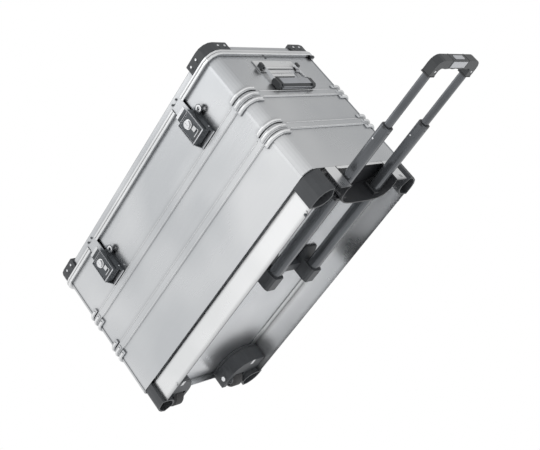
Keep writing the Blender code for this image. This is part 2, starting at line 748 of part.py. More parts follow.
# Telescopic handle
def bowl_outline(inset, mouth_x):
    """The bowl in plan: a flattened curve at the back and straight sides to its mouth."""
    depth = POCKET_SIDE_X - POCKET_BACK_X - inset
    half = POCKET_HALF - inset
    curve = []
    for i in range(BOWL_STEPS + 1):
        angle = math.pi * (i / BOWL_STEPS - 0.5)
        across = math.copysign(abs(math.sin(angle)) ** BOWL_POWER_SHARE, angle)
        along = math.cos(angle) ** BOWL_POWER_SHARE if abs(angle) < math.pi / 2 - DROP else 0
        curve.append((POCKET_SIDE_X - depth * along, MIDDLE_Y + half * across))
    mouth = POCKET_MOUTH_HALF - inset
    return [(mouth_x, MIDDLE_Y - mouth)] + curve + [(mouth_x, MIDDLE_Y + mouth)]


def oval(y, size, grow=0.0):
    """A tube's rounded section in the YZ plane, at a tube's Y."""
    half_y, half_z = size[0] / 2 + grow, size[1] / 2 + grow
    return rounded(y - half_y, TUBE_Z - half_z, y + half_y, TUBE_Z + half_z, half_y * TUBE_ROUND_SHARE, 3)


def handle_bowl():
    """Bowl at the handle end that the tow grip sinks into, with a socket for each outer tube."""
    top = PANEL_Z - GAP
    bowl = plate("handle_bowl", [bowl_outline(0, LENGTH - GAP)], 0, top, finish=BLACK_PLASTIC)
    sockets, seats, ways = [], [], []
    for y in TUBE_YS:
        half_y, half_z = OUTER_SIZE[0] / 2 + SOCKET_WALL, OUTER_SIZE[1] / 2 + SOCKET_WALL
        sockets.append(box_form((SOCKET_START, y - half_y, TUBE_Z - half_z),
                                (SOCKET_END, y + half_y, TUBE_Z + half_z), EDGE_ROUND))
        seats.append(outline_form([oval(y, OUTER_SIZE, GAP)], SOCKET_START - OVERRUN, OUTER_END + GAP, "YZ"))
        ways.append(outline_form([oval(y, MIDDLE_SIZE, GAP)], SOCKET_START, POCKET_SIDE_X, "YZ"))
    low = -OVERRUN
    boolean(bowl, plate("bowl_tool", [bowl_outline(POCKET_WALL, LENGTH + OVERRUN)], low, POCKET_ROOF_Z))
    boolean(bowl, plate("bowl_top_tool", [bowl_outline(POCKET_WALL, LENGTH - SHEET - GAP - POCKET_WALL)],
                        POCKET_ROOF_Z + POCKET_WALL, PANEL_Z))
    boolean(bowl, box("bowl_lip_tool", (LENGTH - SHEET - GAP, 0, EDGE_Z - GAP), (LENGTH + OVERRUN, WIDTH, PANEL_Z)))
    merge(bowl, sockets)
    carve(bowl, seats)
    carve(bowl, ways)


def bracket():
    """Two sockets for the tubes' inner ends, each with a saddle, joined by a web on the panel."""
    top = PANEL_Z - GAP
    forms, saddles, seats = [], [], []
    for y in TUBE_YS:
        low, high = y - BRACKET_HALF, y + BRACKET_HALF
        outline = [(low, top), (low, BRACKET_LOW_Z + BRACKET_CURVE)]
        outline += arc((y, BRACKET_LOW_Z + BRACKET_CURVE), BRACKET_HALF, 180, 360, 8)[1:-1]
        outline = [(a, max(b, BRACKET_LOW_Z)) for a, b in outline]
        outline += [(high, BRACKET_LOW_Z + BRACKET_CURVE), (high, top)]
        forms.append(outline_form([outline], BRACKET_START, BRACKET_END, "YZ"))
        wedge = [(BRACKET_END - OVERRUN, top), (SADDLE_END, top), (SADDLE_END, SADDLE_TIP_Z),
                 (BRACKET_END - OVERRUN, SADDLE_LOW_Z)]
        saddles.append(outline_form([wedge], low, high, "XZ"))
        seats.append(outline_form([oval(y, OUTER_SIZE, GAP)], OUTER_START - GAP, SADDLE_END + OVERRUN, "YZ"))
    made = box("tube_bracket", (WEB_START, TUBE_YS[0], WEB_LOW_Z), (WEB_END, TUBE_YS[1], top), BLACK_PLASTIC)
    merge(made, forms)
    merge(made, saddles)
    carve(made, seats)


def hollow_tube(name, y, size, start, end, slides_in=None):
    """A rounded tube; one that slides has a shoe that fills the tube it slides in, less a running gap."""
    tube = plate(name, [oval(y, size), oval(y, size, -TUBE_WALL)], start, end, "YZ", DARK_METAL)
    if slides_in:
        collar = [oval(y, slides_in, -TUBE_WALL - GAP), oval(y, size, -TUBE_WALL / 2)]
        merge(tube, [outline_form(collar, start + GAP, start + SHOE_LENGTH, "YZ")])
    return tube


def tow_handle():
    """Fixed, middle and inner tubes on each side, the grip and its release button."""
    for label, y in zip("ab", TUBE_YS):
        hollow_tube(f"outer_tube_{label}", y, OUTER_SIZE, OUTER_START, OUTER_END)
        middle = hollow_tube(f"middle_tube_{label}", y, MIDDLE_SIZE, MIDDLE_START, MIDDLE_END, OUTER_SIZE)
        inner = hollow_tube(f"inner_tube_{label}", y, INNER_SIZE, INNER_START, INNER_END, MIDDLE_SIZE)
        hang("middle_slide", middle)
        hang("inner_slide", inner)
    hang("inner_slide", tow_grip())
    back = HANDLE_REACH - BUTTON_RECESS + BUTTON_PRESS + GAP
    half_y, half_z = BUTTON_SIZE[0] / 2, BUTTON_SIZE[1] / 2
    button = box("release_button", (back, MIDDLE_Y - half_y, TUBE_Z - half_z),
                 (HANDLE_REACH + BUTTON_PROUD, MIDDLE_Y + half_y, TUBE_Z + half_z), GREY_PLASTIC, EDGE_ROUND)
    hang("button_slide", button)


def grip_outline():
    """The U of the grip in plan, with finger waves on the inside of its bar."""
    half = TUBE_SPACING / 2 + SLEEVE_WIDTH / 2
    inner_half = half - SLEEVE_WIDTH
    back = HANDLE_REACH - GRIP_DEPTH
    low, high = MIDDLE_Y - half, MIDDLE_Y + half
    inner_low, inner_high = MIDDLE_Y - inner_half, MIDDLE_Y + inner_half
    outer_x, inner_x = HANDLE_REACH - GRIP_CORNER, back - GRIP_INNER_CORNER
    points = [(SLEEVE_START, low)] + arc((outer_x, low + GRIP_CORNER), GRIP_CORNER, -90, 0)
    points += arc((outer_x, high - GRIP_CORNER), GRIP_CORNER, 0, 90)
    points += [(SLEEVE_START, high), (SLEEVE_START, inner_high)]
    points += arc((inner_x, inner_high - GRIP_INNER_CORNER), GRIP_INNER_CORNER, 90, 0, 4)
    span = 2 * (inner_half - GRIP_INNER_CORNER)
    count = GRIP_WAVES * WAVE_STEPS
    for i in range(1, count):
        swell = GRIP_WAVE_DEPTH * (1 - math.cos(2 * math.pi * GRIP_WAVES * i / count)) / 2
        points.append((back - swell, inner_high - GRIP_INNER_CORNER - span * i / count))
    points += arc((inner_x, inner_low + GRIP_INNER_CORNER), GRIP_INNER_CORNER, 0, -90, 4)
    return points + [(SLEEVE_START, inner_low)]


def tow_grip():
    low, high = TUBE_Z - GRIP_THICK / 2, TUBE_Z + GRIP_THICK / 2
    grip = plate("tow_grip", [grip_outline()], low, high, finish=BLACK_PLASTIC, rounding=GRIP_ROUND)
    bores = [outline_form([oval(y, INNER_SIZE, GAP)], SLEEVE_START - OVERRUN, INNER_END + GAP, "YZ")
             for y in TUBE_YS]
    half_y, half_z = BUTTON_SIZE[0] / 2 + GAP, BUTTON_SIZE[1] / 2 + GAP
    recess = box_form((HANDLE_REACH - BUTTON_RECESS, MIDDLE_Y - half_y, TUBE_Z - half_z),
                      (HANDLE_REACH + OVERRUN, MIDDLE_Y + half_y, TUBE_Z + half_z))
    return carve(grip, bores + [recess])


# Latches
def latch(label, middle):
    """Base with side ears and padlock eye, hollow lever, hook on trunnions, key cylinder and strike."""
    lever_pivot, hook_pivot, key_pivot = f"lever_pivot_{label}", f"hook_pivot_{label}", f"key_pivot_{label}"
    key_x = middle + LOCK_OFFSET
    pivot(lever_pivot, (middle, -LATCH_PIVOT_Y, LATCH_PIVOT_Z))
    pivot(hook_pivot, (middle, -HOOK_Y - HOOK_SHEET / 2, HOOK_PIVOT_Z), lever_pivot)
    pivot(key_pivot, (key_x, -LATCH_FACE_Y, LOCK_Z), lever_pivot)
    latch_base(f"latch_base_{label}", middle)
    hang(lever_pivot, latch_lever(f"latch_lever_{label}", middle, key_x))
    hang(hook_pivot, latch_hook(f"latch_hook_{label}", middle))
    face = -LATCH_FACE_Y - LOCK_PROUD
    back = -LATCH_FACE_Y + LEVER_WALL - GAP
    at = (key_x, (face + back) / 2, LOCK_Z)
    key = rod(f"key_cylinder_{label}", at, LOCK_RADIUS, back - face, "Y", CHROME, FINE)
    half_x, half_z = KEYWAY[0] / 2, KEYWAY[1] / 2
    carve(key, [box_form((key_x - half_x, face - OVERRUN, LOCK_Z - half_z),
                         (key_x + half_x, face + KEYWAY[2], LOCK_Z + half_z))])
    hang(key_pivot, key)
    catch_x = strike_middle(middle)
    path = [(-GAP, LID_RIM_TOP - GAP), (STRIKE_SHEET - RIM_PROUD, LID_RIM_TOP - GAP),
            (STRIKE_SHEET - RIM_PROUD, STRIKE_LOW_Z), (-STRIKE_LIP, STRIKE_LOW_Z)]
    strike = plate(f"strike_{label}", [strip_outline(path, STRIKE_SHEET)], catch_x - STRIKE_HALF,
                   catch_x + STRIKE_HALF, "YZ", STEEL)
    hang("lid_pivot", strike)


def latch_base(name, middle):
    front = -GAP - BASE_SHEET
    ear_x = LATCH_HALF + GAP
    base = plate(name, [rounded(middle - BASE_HALF, BASE_LOW_Z, middle + BASE_HALF, BASE_TOP_Z, BASE_CORNER, 2)],
                 front, -GAP, "XZ", DARK_METAL)
    root = -GAP - BASE_SHEET / 2
    ear = [(root, BASE_LOW_Z + BASE_CORNER), (-EAR_REACH, LATCH_LOW_Z), (-EAR_REACH, HOOK_PIVOT_Z - EAR_SLOPE),
           (-EAR_REACH / 2, HOOK_PIVOT_Z + EAR_SLOPE / 2), (root, BASE_TOP_Z - BASE_CORNER)]
    ears = [outline_form([ear], middle + ear_x, middle + ear_x + EAR_SHEET, "YZ"),
            outline_form([ear], middle - ear_x - EAR_SHEET, middle - ear_x, "YZ")]
    merge(base, ears)
    eye_x = middle + ear_x + EAR_SHEET / 2
    eye_low, eye_high = HOOK_PIVOT_Z - EYE_WIDTH / 2, HOOK_PIVOT_Z + EYE_WIDTH / 2
    tab = rounded(eye_x, eye_low, eye_x + EYE_WIDTH, eye_high, EYE_WIDTH * EYE_ROUND_SHARE, 4)
    hole = arc((eye_x + EYE_WIDTH * EYE_HOLE_SHARE, HOOK_PIVOT_Z), EYE_HOLE, 0, 360, ROUND)[:-1]
    boolean(base, plate(name + "_eye", [tab, hole], -EYE_Y - EAR_SHEET, -EYE_Y, "XZ"), "UNION", "MANIFOLD")
    pin = rod(name + "_bore", (middle, -LATCH_PIVOT_Y, LATCH_PIVOT_Z), LATCH_PIN_RADIUS + GAP,
              2 * (ear_x + EAR_SHEET + OVERRUN), "X", sides=ROUND)
    boolean(base, pin, solver="MANIFOLD")


def latch_lever(name, middle, key_x):
    """A channel open to the wall, with a recessed face, its lower inner corner cut to swing clear."""
    inner, face = -LEVER_BACK_Y, -LATCH_FACE_Y
    side = [(inner, LATCH_TOP_Z), (inner, LATCH_PIVOT_Z - LEVER_HEEL), (inner - LEVER_HEEL, LATCH_LOW_Z),
            (face + EDGE_ROUND, LATCH_LOW_Z), (face, LATCH_LOW_Z + EDGE_ROUND),
            (face, LATCH_TOP_Z - EDGE_ROUND), (face + EDGE_ROUND, LATCH_TOP_Z)]
    lever = plate(name, [side], middle - LATCH_HALF, middle + LATCH_HALF, "YZ", DARK_METAL)
    hollow_x, hollow_y = LATCH_HALF - LEVER_SIDE, face + LEVER_WALL
    carve(lever, [box_form((middle - hollow_x, hollow_y, LATCH_PIVOT_Z - LEVER_HEEL),
                           (middle + hollow_x, inner + OVERRUN, LATCH_TOP_Z - LEVER_SIDE))])
    catch_x = strike_middle(middle)
    slot = HOOK_HALF + GAP * 2
    carve(lever, [box_form((catch_x - slot, hollow_y, LATCH_TOP_Z - LEVER_SIDE - OVERRUN),
                           (catch_x + slot, inner + OVERRUN, LATCH_TOP_Z + OVERRUN))])
    rim = LATCH_HALF - FACE_RIM
    carve(lever, [box_form((middle - rim, face - OVERRUN, LATCH_LOW_Z + FACE_RIM),
                           (middle + rim, face + FACE_RECESS, LATCH_TOP_Z - FACE_RIM))])
    pad_x = middle + PAD_OFFSET
    merge(lever, [box_form((pad_x - PAD_HALF, face, PAD_Z - PAD_HALF),
                           (pad_x + PAD_HALF, face + LEVER_WALL / 2, PAD_Z + PAD_HALF))])
    key_at = (key_x, face + LEVER_WALL / 2, LOCK_Z)
    pin_at = (middle, -LATCH_PIVOT_Y, LATCH_PIVOT_Z)
    hook_at = (middle, -HOOK_Y - HOOK_SHEET / 2, HOOK_PIVOT_Z)
    return carve(lever, [rod_form(key_at, LOCK_RADIUS + GAP, LEVER_WALL + OVERRUN * 2, "Y", FINE),
                         rod_form(pin_at, LATCH_PIN_RADIUS + GAP, 2 * (LATCH_HALF + OVERRUN), "X"),
                         rod_form(hook_at, TRUNNION_RADIUS + GAP, 2 * (hollow_x + TRUNNION_BITE + GAP), "X")])


def latch_hook(name, middle):
    """Flat hook that stands in front of the strike, on a barrel with trunnions in the lever's sides."""
    catch_x = strike_middle(middle)
    front = -HOOK_Y - HOOK_SHEET
    hollow_x = LATCH_HALF - LEVER_SIDE
    hook = box(name, (catch_x - HOOK_HALF, front, HOOK_PIVOT_Z), (catch_x + HOOK_HALF, -HOOK_Y, HOOK_TOP_Z),
               STEEL, HOOK_SHEET * HOOK_ROUND_SHARE)
    level = -HOOK_Y - HOOK_SHEET / 2
    merge(hook, [rod_form((catch_x, level, HOOK_PIVOT_Z), BARREL_RADIUS, 2 * HOOK_HALF - GAP, "X")])
    return merge(hook, [rod_form((middle, level, HOOK_PIVOT_Z), TRUNNION_RADIUS,
                                 2 * (hollow_x + TRUNNION_BITE), "X")])


def latches():
    for label, middle in zip("ab", LATCH_XS):
        latch(label, middle)
        length = 2 * (LATCH_HALF + EAR_SHEET + GAP + RIVET_HEAD)
        rod(f"latch_pin_{label}", (middle, -LATCH_PIVOT_Y, LATCH_PIVOT_Z), LATCH_PIN_RADIUS, length, "X", STEEL)


# Drop handles
def octagon(out, level, half_out, half_up, cut):
    """A rectangle with its corners cut off, about a point."""
    low, high, left, right = level - half_up, level + half_up, out - half_out, out + half_out
    return [(left + cut, low), (right - cut, low), (right, low + cut), (right, high - cut),
            (right - cut, high), (left + cut, high), (left, high - cut), (left, low + cut)]


def drop_handle(label, side):
    """Riveted plate with two knuckles, strap bail and grip, on the end wall."""
    def out(distance):
        return LENGTH + distance if side > 0 else -distance

    def block(near, far, y, half_y, low, high, rounding=0.0):
        left, right = sorted((out(near), out(far)))
        return box_form((left, y - half_y, low), (right, y + half_y, high), rounding)

    name = f"handle_pivot_{label}"
    pivot(name, (out(BAIL_OUT), MIDDLE_Y, BAIL_PIVOT_Z))
    step, tall = PLATE_STEP
    shelf, foot_half = PLATE_LOW_Z + tall, step - tall / 2
    half = [(foot_half, PLATE_LOW_Z), (step, shelf), (PLATE_HALF, shelf), (PLATE_HALF, PLATE_TOP_Z)]
    outline = [(MIDDLE_Y + a, z) for a, z in half] + [(MIDDLE_Y - a, z) for a, z in half[::-1]]
    near, far = sorted((out(GAP), out(GAP + PLATE_SHEET)))
    base = plate(f"handle_plate_{label}", [outline], near, far, "YZ", ALUMINIUM)
    knuckles, bores, straps, pegs, slots = [], [], [], [], []
    for sign in (-1, 1):
        y = MIDDLE_Y + sign * BAIL_PIVOT_HALF
        knuckles.append(block(GAP + PLATE_SHEET / 2, BAIL_OUT + KNUCKLE_RADIUS, y, KNUCKLE_LENGTH / 2,
                              BAIL_PIVOT_Z - KNUCKLE_RADIUS, BAIL_PIVOT_Z + KNUCKLE_RADIUS, EDGE_ROUND))
        strap_y = MIDDLE_Y + sign * (BAIL_PIVOT_HALF - KNUCKLE_LENGTH / 2 - BAIL_STRAP[0] / 2 - GAP * 2)
        half = BAIL_STRAP[1] / 2
        straps.append(block(BAIL_OUT - half, BAIL_OUT + half, strap_y, BAIL_STRAP[0] / 2,
                            BAIL_LOW_Z, BAIL_PIVOT_Z + half))
        slots.append(block(BAIL_OUT - half - GAP, BAIL_OUT + half + GAP, strap_y, BAIL_STRAP[0] / 2 + GAP,
                           BAIL_LOW_Z - GAP, BAIL_LOW_Z + HANDGRIP_SIZE[1]))
        reach = abs(y - strap_y) + KNUCKLE_LENGTH * PEG_SHARE
        peg = (out(BAIL_OUT), strap_y + sign * reach / 2, BAIL_PIVOT_Z)
        pegs.append(rod_form(peg, PEG_RADIUS, reach, "Y", ROUND))
        bores.append(rod_form(peg, PEG_RADIUS + GAP, reach + GAP * 2, "Y", ROUND))
    merge(base, knuckles)
    carve(base, bores)
    face = out(PLATE_SHEET)
    merge(base, [dome((face, MIDDLE_Y + across, PLATE_TOP_Z - down), (side, 0, 0))
                 for across, down in HANDLE_RIVETS])
    cross = BAIL_PIVOT_HALF - KNUCKLE_LENGTH / 2 - GAP * 2
    bar = block(BAIL_OUT - BAIL_STRAP[0], BAIL_OUT + BAIL_STRAP[0], MIDDLE_Y, cross - BAIL_STRAP[0] / 2,
                BAIL_LOW_Z, BAIL_LOW_Z + BAIL_STRAP[0] * 2)
    bail = place(f"handle_bail_{label}", mesh_of(f"handle_bail_{label}", bar), STEEL)
    merge(bail, straps)
    merge(bail, pegs)
    slots.append(block(BAIL_OUT - BAIL_STRAP[0] - GAP, BAIL_OUT + BAIL_STRAP[0] + GAP, MIDDLE_Y, cross,
                       BAIL_LOW_Z - GAP, BAIL_LOW_Z + BAIL_STRAP[0] * 2 + GAP))
    half_out, half_up = HANDGRIP_SIZE[0] / 2, HANDGRIP_SIZE[1] / 2
    level = BAIL_LOW_Z + BAIL_STRAP[0]
    core = octagon(out(BAIL_OUT), level, half_out - EDGE_ROUND, half_up - EDGE_ROUND, HANDGRIP_CUT)
    end = octagon(out(BAIL_OUT), level, half_out, half_up, HANDGRIP_CUT)
    grip = plate(f"handle_grip_{label}", [core], MIDDLE_Y - HANDGRIP_HALF + HANDGRIP_CAP / 2,
                 MIDDLE_Y + HANDGRIP_HALF - HANDGRIP_CAP / 2, "XZ", BLACK_PLASTIC)
    caps = [outline_form([end], MIDDLE_Y - HANDGRIP_HALF, MIDDLE_Y - HANDGRIP_HALF + HANDGRIP_CAP, "XZ"),
            outline_form([end], MIDDLE_Y + HANDGRIP_HALF - HANDGRIP_CAP, MIDDLE_Y + HANDGRIP_HALF, "XZ")]
    merge(grip, caps)
    for slot in slots:
        carve(grip, [slot])
    hang(name, bail, grip)


# Hinges
def hinge(label, x):
    """A butt hinge outside the rims: leaves bent round the rims, alternate knuckles and a pin."""
    wall = WIDTH + GAP
    clear = WIDTH + RIM_PROUD + LEAF_SHEET + GAP
    body_path = [(HINGE_Y - LEAF_SHEET, HINGE_Z - LEAF_SHEET), (clear, RIM_Z - LEAF_SHEET * 1.5),
                 (wall, RIM_Z - LEAF_SHEET * 3), (wall, LEAF_BODY_Z)]
    lid_path = [(wall, LEAF_LID_Z), (wall, LID_RIM_TOP + LEAF_SHEET * 2), (clear, LID_RIM_TOP + LEAF_SHEET),
                (HINGE_Y - LEAF_SHEET, HINGE_Z + LEAF_SHEET)]
    start, end = x - HINGE_LENGTH / 2, x + HINGE_LENGTH / 2
    central = HINGE_LENGTH * KNUCKLE_SHARE / 2
    side = HINGE_LENGTH / 2 - central
    near, far = WIDTH + RIM_PROUD, HINGE_Y + HINGE_RADIUS + OVERRUN
    reach = HINGE_RADIUS * KNUCKLE_CLEAR_SHARE
    bore = rod_form((x, HINGE_Y, HINGE_Z), HINGE_PIN + GAP, HINGE_LENGTH + OVERRUN, "X")
    body_side = plate(f"hinge_body_leaf_{label}", [strip_outline(body_path, LEAF_SHEET)], start, end, "YZ", STEEL)
    carve(body_side, [box_form((x - central, near, HINGE_Z - reach), (x + central, far, HINGE_Z + HINGE_RADIUS))])
    merge(body_side, [rod_form((middle, HINGE_Y, HINGE_Z), HINGE_RADIUS, side, "X")
                      for middle in (start + side / 2, end - side / 2)])
    carve(body_side, [bore])
    lid_side = plate(f"hinge_lid_leaf_{label}", [strip_outline(lid_path, LEAF_SHEET)], start, end, "YZ", STEEL)
    low, high = HINGE_Z - HINGE_RADIUS * 2, HINGE_Z + reach
    carve(lid_side, [box_form((start - OVERRUN, near, low), (x - central + GAP, far, high)),
                     box_form((x + central - GAP, near, low), (end + OVERRUN, far, high))])
    merge(lid_side, [rod_form((x, HINGE_Y, HINGE_Z), HINGE_RADIUS, 2 * (central - GAP), "X")])
    carve(lid_side, [rod_form((x, HINGE_Y, HINGE_Z), HINGE_PIN + GAP, HINGE_LENGTH + OVERRUN, "X")])
    hang("lid_pivot", lid_side)
    rod(f"hinge_pin_{label}", (x, HINGE_Y, HINGE_Z), HINGE_PIN, HINGE_LENGTH + LEAF_SHEET, "X", STEEL)


# Wheels
def at_wheel_end(side_y, points):
    return points if side_y < 0 else mirror_y(points)


def housing_outline(grow, left):
    """The housing in plan: its inner end swept round by a large arc."""
    skirt = SKIRT_INSET + SKIRT_SHEET + GAP
    cover = FOOT_LEG_Y - FOOT_WALL
    middle = (HOUSING_END - HOUSING_CURVE, HOUSING_DEPTH - HOUSING_CURVE)
    sweep = arc(middle, HOUSING_CURVE + grow, 90, 0, 8)
    return ([(left, cover), (left, HOUSING_DEPTH + grow)] + sweep
            + [(HOUSING_END + grow, skirt), (HOUSING_COVER_X - FOOT_WALL, skirt), (HOUSING_COVER_X - FOOT_WALL, cover)])


def wheel_unit(label, side_y):
    """Housing that doubles as corner cover, with its well and axle bores, and the wheel in it."""
    under, top = EDGE_Z - GAP, PANEL_Z - GAP
    form = outline_form([at_wheel_end(side_y, housing_outline(0, -HOUSING_OUT))], HOUSING_LOW_Z, under)
    soften(form, lambda spot: spot.z < HOUSING_LOW_Z + DROP, HOUSING_ROUND)
    name = f"wheel_housing_{label}"
    housing = place(name, mesh_of(name, form), BLACK_PLASTIC)
    inside = SHEET + GAP
    flange = at_wheel_end(side_y, housing_outline(HOUSING_FLANGE, inside))
    boolean(housing, plate(name + "_flange", [flange], under - HOUSING_FLANGE, top), "UNION", "MANIFOLD")
    cover = at_corner(-1, side_y, foot_outline(0, HOUSING_COVER_X))
    boolean(housing, plate(name + "_cover", [cover], HOUSING_COVER_LOW_Z, under), "UNION", "MANIFOLD")
    lip = box(name + "_lip_tool", (-HOUSING_OUT - OVERRUN, 0, under), (inside, WIDTH, top + OVERRUN))
    boolean(housing, lip, solver="MANIFOLD")
    hollow = at_corner(-1, side_y, foot_outline(FOOT_WALL + GAP, HOUSING_COVER_X))
    boolean(housing, plate(name + "_hollow", [hollow], -OVERRUN, EDGE_Z - FOOT_WALL * 2), solver="MANIFOLD")
    wheel_y = WHEEL_Y if side_y < 0 else WIDTH - WHEEL_Y
    half = WHEEL_WIDTH / 2 + WELL_SIDE
    radius = WHEEL_RADIUS + WELL_CLEAR
    well = rod(name + "_well", (WHEEL_X, wheel_y, WHEEL_RADIUS), radius, half * 2, "Y", sides=FINE)
    mouth = box(name + "_well_mouth", (WHEEL_X - radius - OVERRUN, wheel_y - half, -OVERRUN),
                (WHEEL_X + radius, wheel_y + half, WHEEL_RADIUS))
    boolean(housing, well, solver="MANIFOLD")
    boolean(housing, mouth, solver="MANIFOLD")
    start, end = FOOT_LEG_Y - FOOT_WALL + GAP, HOUSING_DEPTH + OVERRUN
    low, high = sorted((start, end)) if side_y < 0 else sorted((WIDTH - start, WIDTH - end))
    bore = rod(name + "_bore", (WHEEL_X, (low + high) / 2, WHEEL_RADIUS), AXLE_RADIUS + GAP, high - low, "Y")
    boolean(housing, bore, solver="MANIFOLD")
    tread, shoulder = WHEEL_WIDTH / 2 - TYRE_ROUND, WHEEL_RADIUS - TYRE_ROUND
    seat = WHEEL_RADIUS - TYRE_DEPTH
    at = (WHEEL_X, wheel_y, WHEEL_RADIUS)
    turned(f"wheel_tyre_{label}", [(WHEEL_RADIUS, tread), (WHEEL_RADIUS, -tread), (shoulder, -WHEEL_WIDTH / 2),
                                   (seat, -WHEEL_WIDTH / 2), (seat, WHEEL_WIDTH / 2), (shoulder, WHEEL_WIDTH / 2)],
           at, "Y", RUBBER, FINE)
    rim, bore = seat - GAP, AXLE_RADIUS + GAP
    wide, web = WHEEL_WIDTH / 2 - HUB_STEP, WHEEL_WIDTH / 2 - HUB_DISH
    half_hub = [(rim, wide), (rim, -wide), (rim - HUB_STEP, -wide), (rim - HUB_STEP, -web), (bore + HUB_STEP, -web),
                (bore + HUB_STEP, -WHEEL_WIDTH / 2), (bore, -WHEEL_WIDTH / 2)]
    hub = half_hub + [(radius, -height) for radius, height in half_hub[:1:-1]]
    turned(f"wheel_hub_{label}", hub, at, "Y", GREY_PLASTIC, ROUND)
    start, end = FOOT_LEG_Y - FOOT_WALL + GAP * 4, HOUSING_DEPTH + GAP
    low, high = (start, end) if side_y < 0 else (WIDTH - end, WIDTH - start)
    axle = rod(f"wheel_axle_{label}", (WHEEL_X, (low + high) / 2, WHEEL_RADIUS), AXLE_RADIUS, high - low, "Y", STEEL)
    head_y = HOUSING_DEPTH + GAP + AXLE_HEAD / 2
    at = (WHEEL_X, head_y if side_y < 0 else WIDTH - head_y, WHEEL_RADIUS)
    merge(axle, [rod_form(at, AXLE_RADIUS * HEAD_SHARE, AXLE_HEAD, "Y", 6)])


pivot("lid_pivot", (LENGTH / 2, HINGE_Y, HINGE_Z))
pivot("middle_slide", (MIDDLE_START, MIDDLE_Y, TUBE_Z))
pivot("inner_slide", (INNER_START, MIDDLE_Y, TUBE_Z), "middle_slide")
pivot("button_slide", (HANDLE_REACH, MIDDLE_Y, TUBE_Z), "inner_slide")
body()
rims()
lid()
protectors()
underside()
handle_bowl()
bracket()
tow_handle()
latches()
drop_handle("tow_end", 1)
drop_handle("wheel_end", -1)
for tag, place_x in zip("ab", HINGE_XS):
    hinge(tag, place_x)
wheel_unit("a", -1)
wheel_unit("b", 1)
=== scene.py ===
# %% [markdown]
# # A wheeled aluminium transport case
# The case is a box of thin swaged sheet with bright extruded rims, black corner parts and a
# telescopic tow handle under its floor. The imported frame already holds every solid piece, in
# metres. This lesson gives each piece its real finish and adds the small fittings that the
# frame leaves plain.

# %% Load the frame
import math

import bpy
from mathutils import Matrix, Vector


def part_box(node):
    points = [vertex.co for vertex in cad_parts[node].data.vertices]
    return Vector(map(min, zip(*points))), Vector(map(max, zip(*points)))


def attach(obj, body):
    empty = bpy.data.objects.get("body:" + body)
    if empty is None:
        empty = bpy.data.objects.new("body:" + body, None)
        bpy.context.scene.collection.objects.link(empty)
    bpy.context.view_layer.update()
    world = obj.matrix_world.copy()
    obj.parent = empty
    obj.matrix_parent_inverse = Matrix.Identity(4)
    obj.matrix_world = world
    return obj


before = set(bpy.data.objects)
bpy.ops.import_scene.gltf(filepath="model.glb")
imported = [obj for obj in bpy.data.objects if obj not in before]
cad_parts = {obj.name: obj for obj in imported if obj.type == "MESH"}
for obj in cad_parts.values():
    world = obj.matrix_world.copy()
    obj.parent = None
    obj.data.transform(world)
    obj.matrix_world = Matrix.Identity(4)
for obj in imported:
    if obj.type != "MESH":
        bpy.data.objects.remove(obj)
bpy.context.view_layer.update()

# %% [markdown]
# The fittings are easiest to place by the case's own sizes, measured in millimetres from the
# front wall's wheel corner on the floor. The floor panel stands in from the walls by a known
# amount all round, so its box tells where that corner is in the frame.

# %% Places in millimetres
PANEL_INSET = 0.0023
MM = 0.001
panel_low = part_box("bottom_panel")[0]
CORNER = Vector((panel_low[0] - PANEL_INSET, panel_low[1] - PANEL_INSET, 0))


def at(x, y, z):
    """A point in the frame from millimetres in the case's own directions."""
    return CORNER + Vector((x, y, z)) * MM


print("case corner at", [round(v, 4) for v in CORNER])

# %% [markdown]
# Each finish is a small network of shader nodes. Written out by hand that is long, so one
# class wraps a socket and lets Python's own operators add Math nodes, and one method adds
# any other node from its type, its settings and its inputs.

# %% Shader helpers
OCCLUSION_SAMPLES = 8


class Wire:
    """A socket that takes part in Python expressions."""

    def __init__(self, look, socket):
        self.look, self.socket = look, socket

    def math(self, operation, first, second):
        return self.look.node("ShaderNodeMath", {"operation": operation}, {0: first, 1: second})

    def __add__(self, other):
        return self.math("ADD", self, other)

    def __sub__(self, other):
        return self.math("SUBTRACT", self, other)

    def __rsub__(self, other):
        return self.math("SUBTRACT", other, self)

    def __mul__(self, other):
        return self.math("MULTIPLY", self, other)

    __radd__ = __add__
    __rmul__ = __mul__


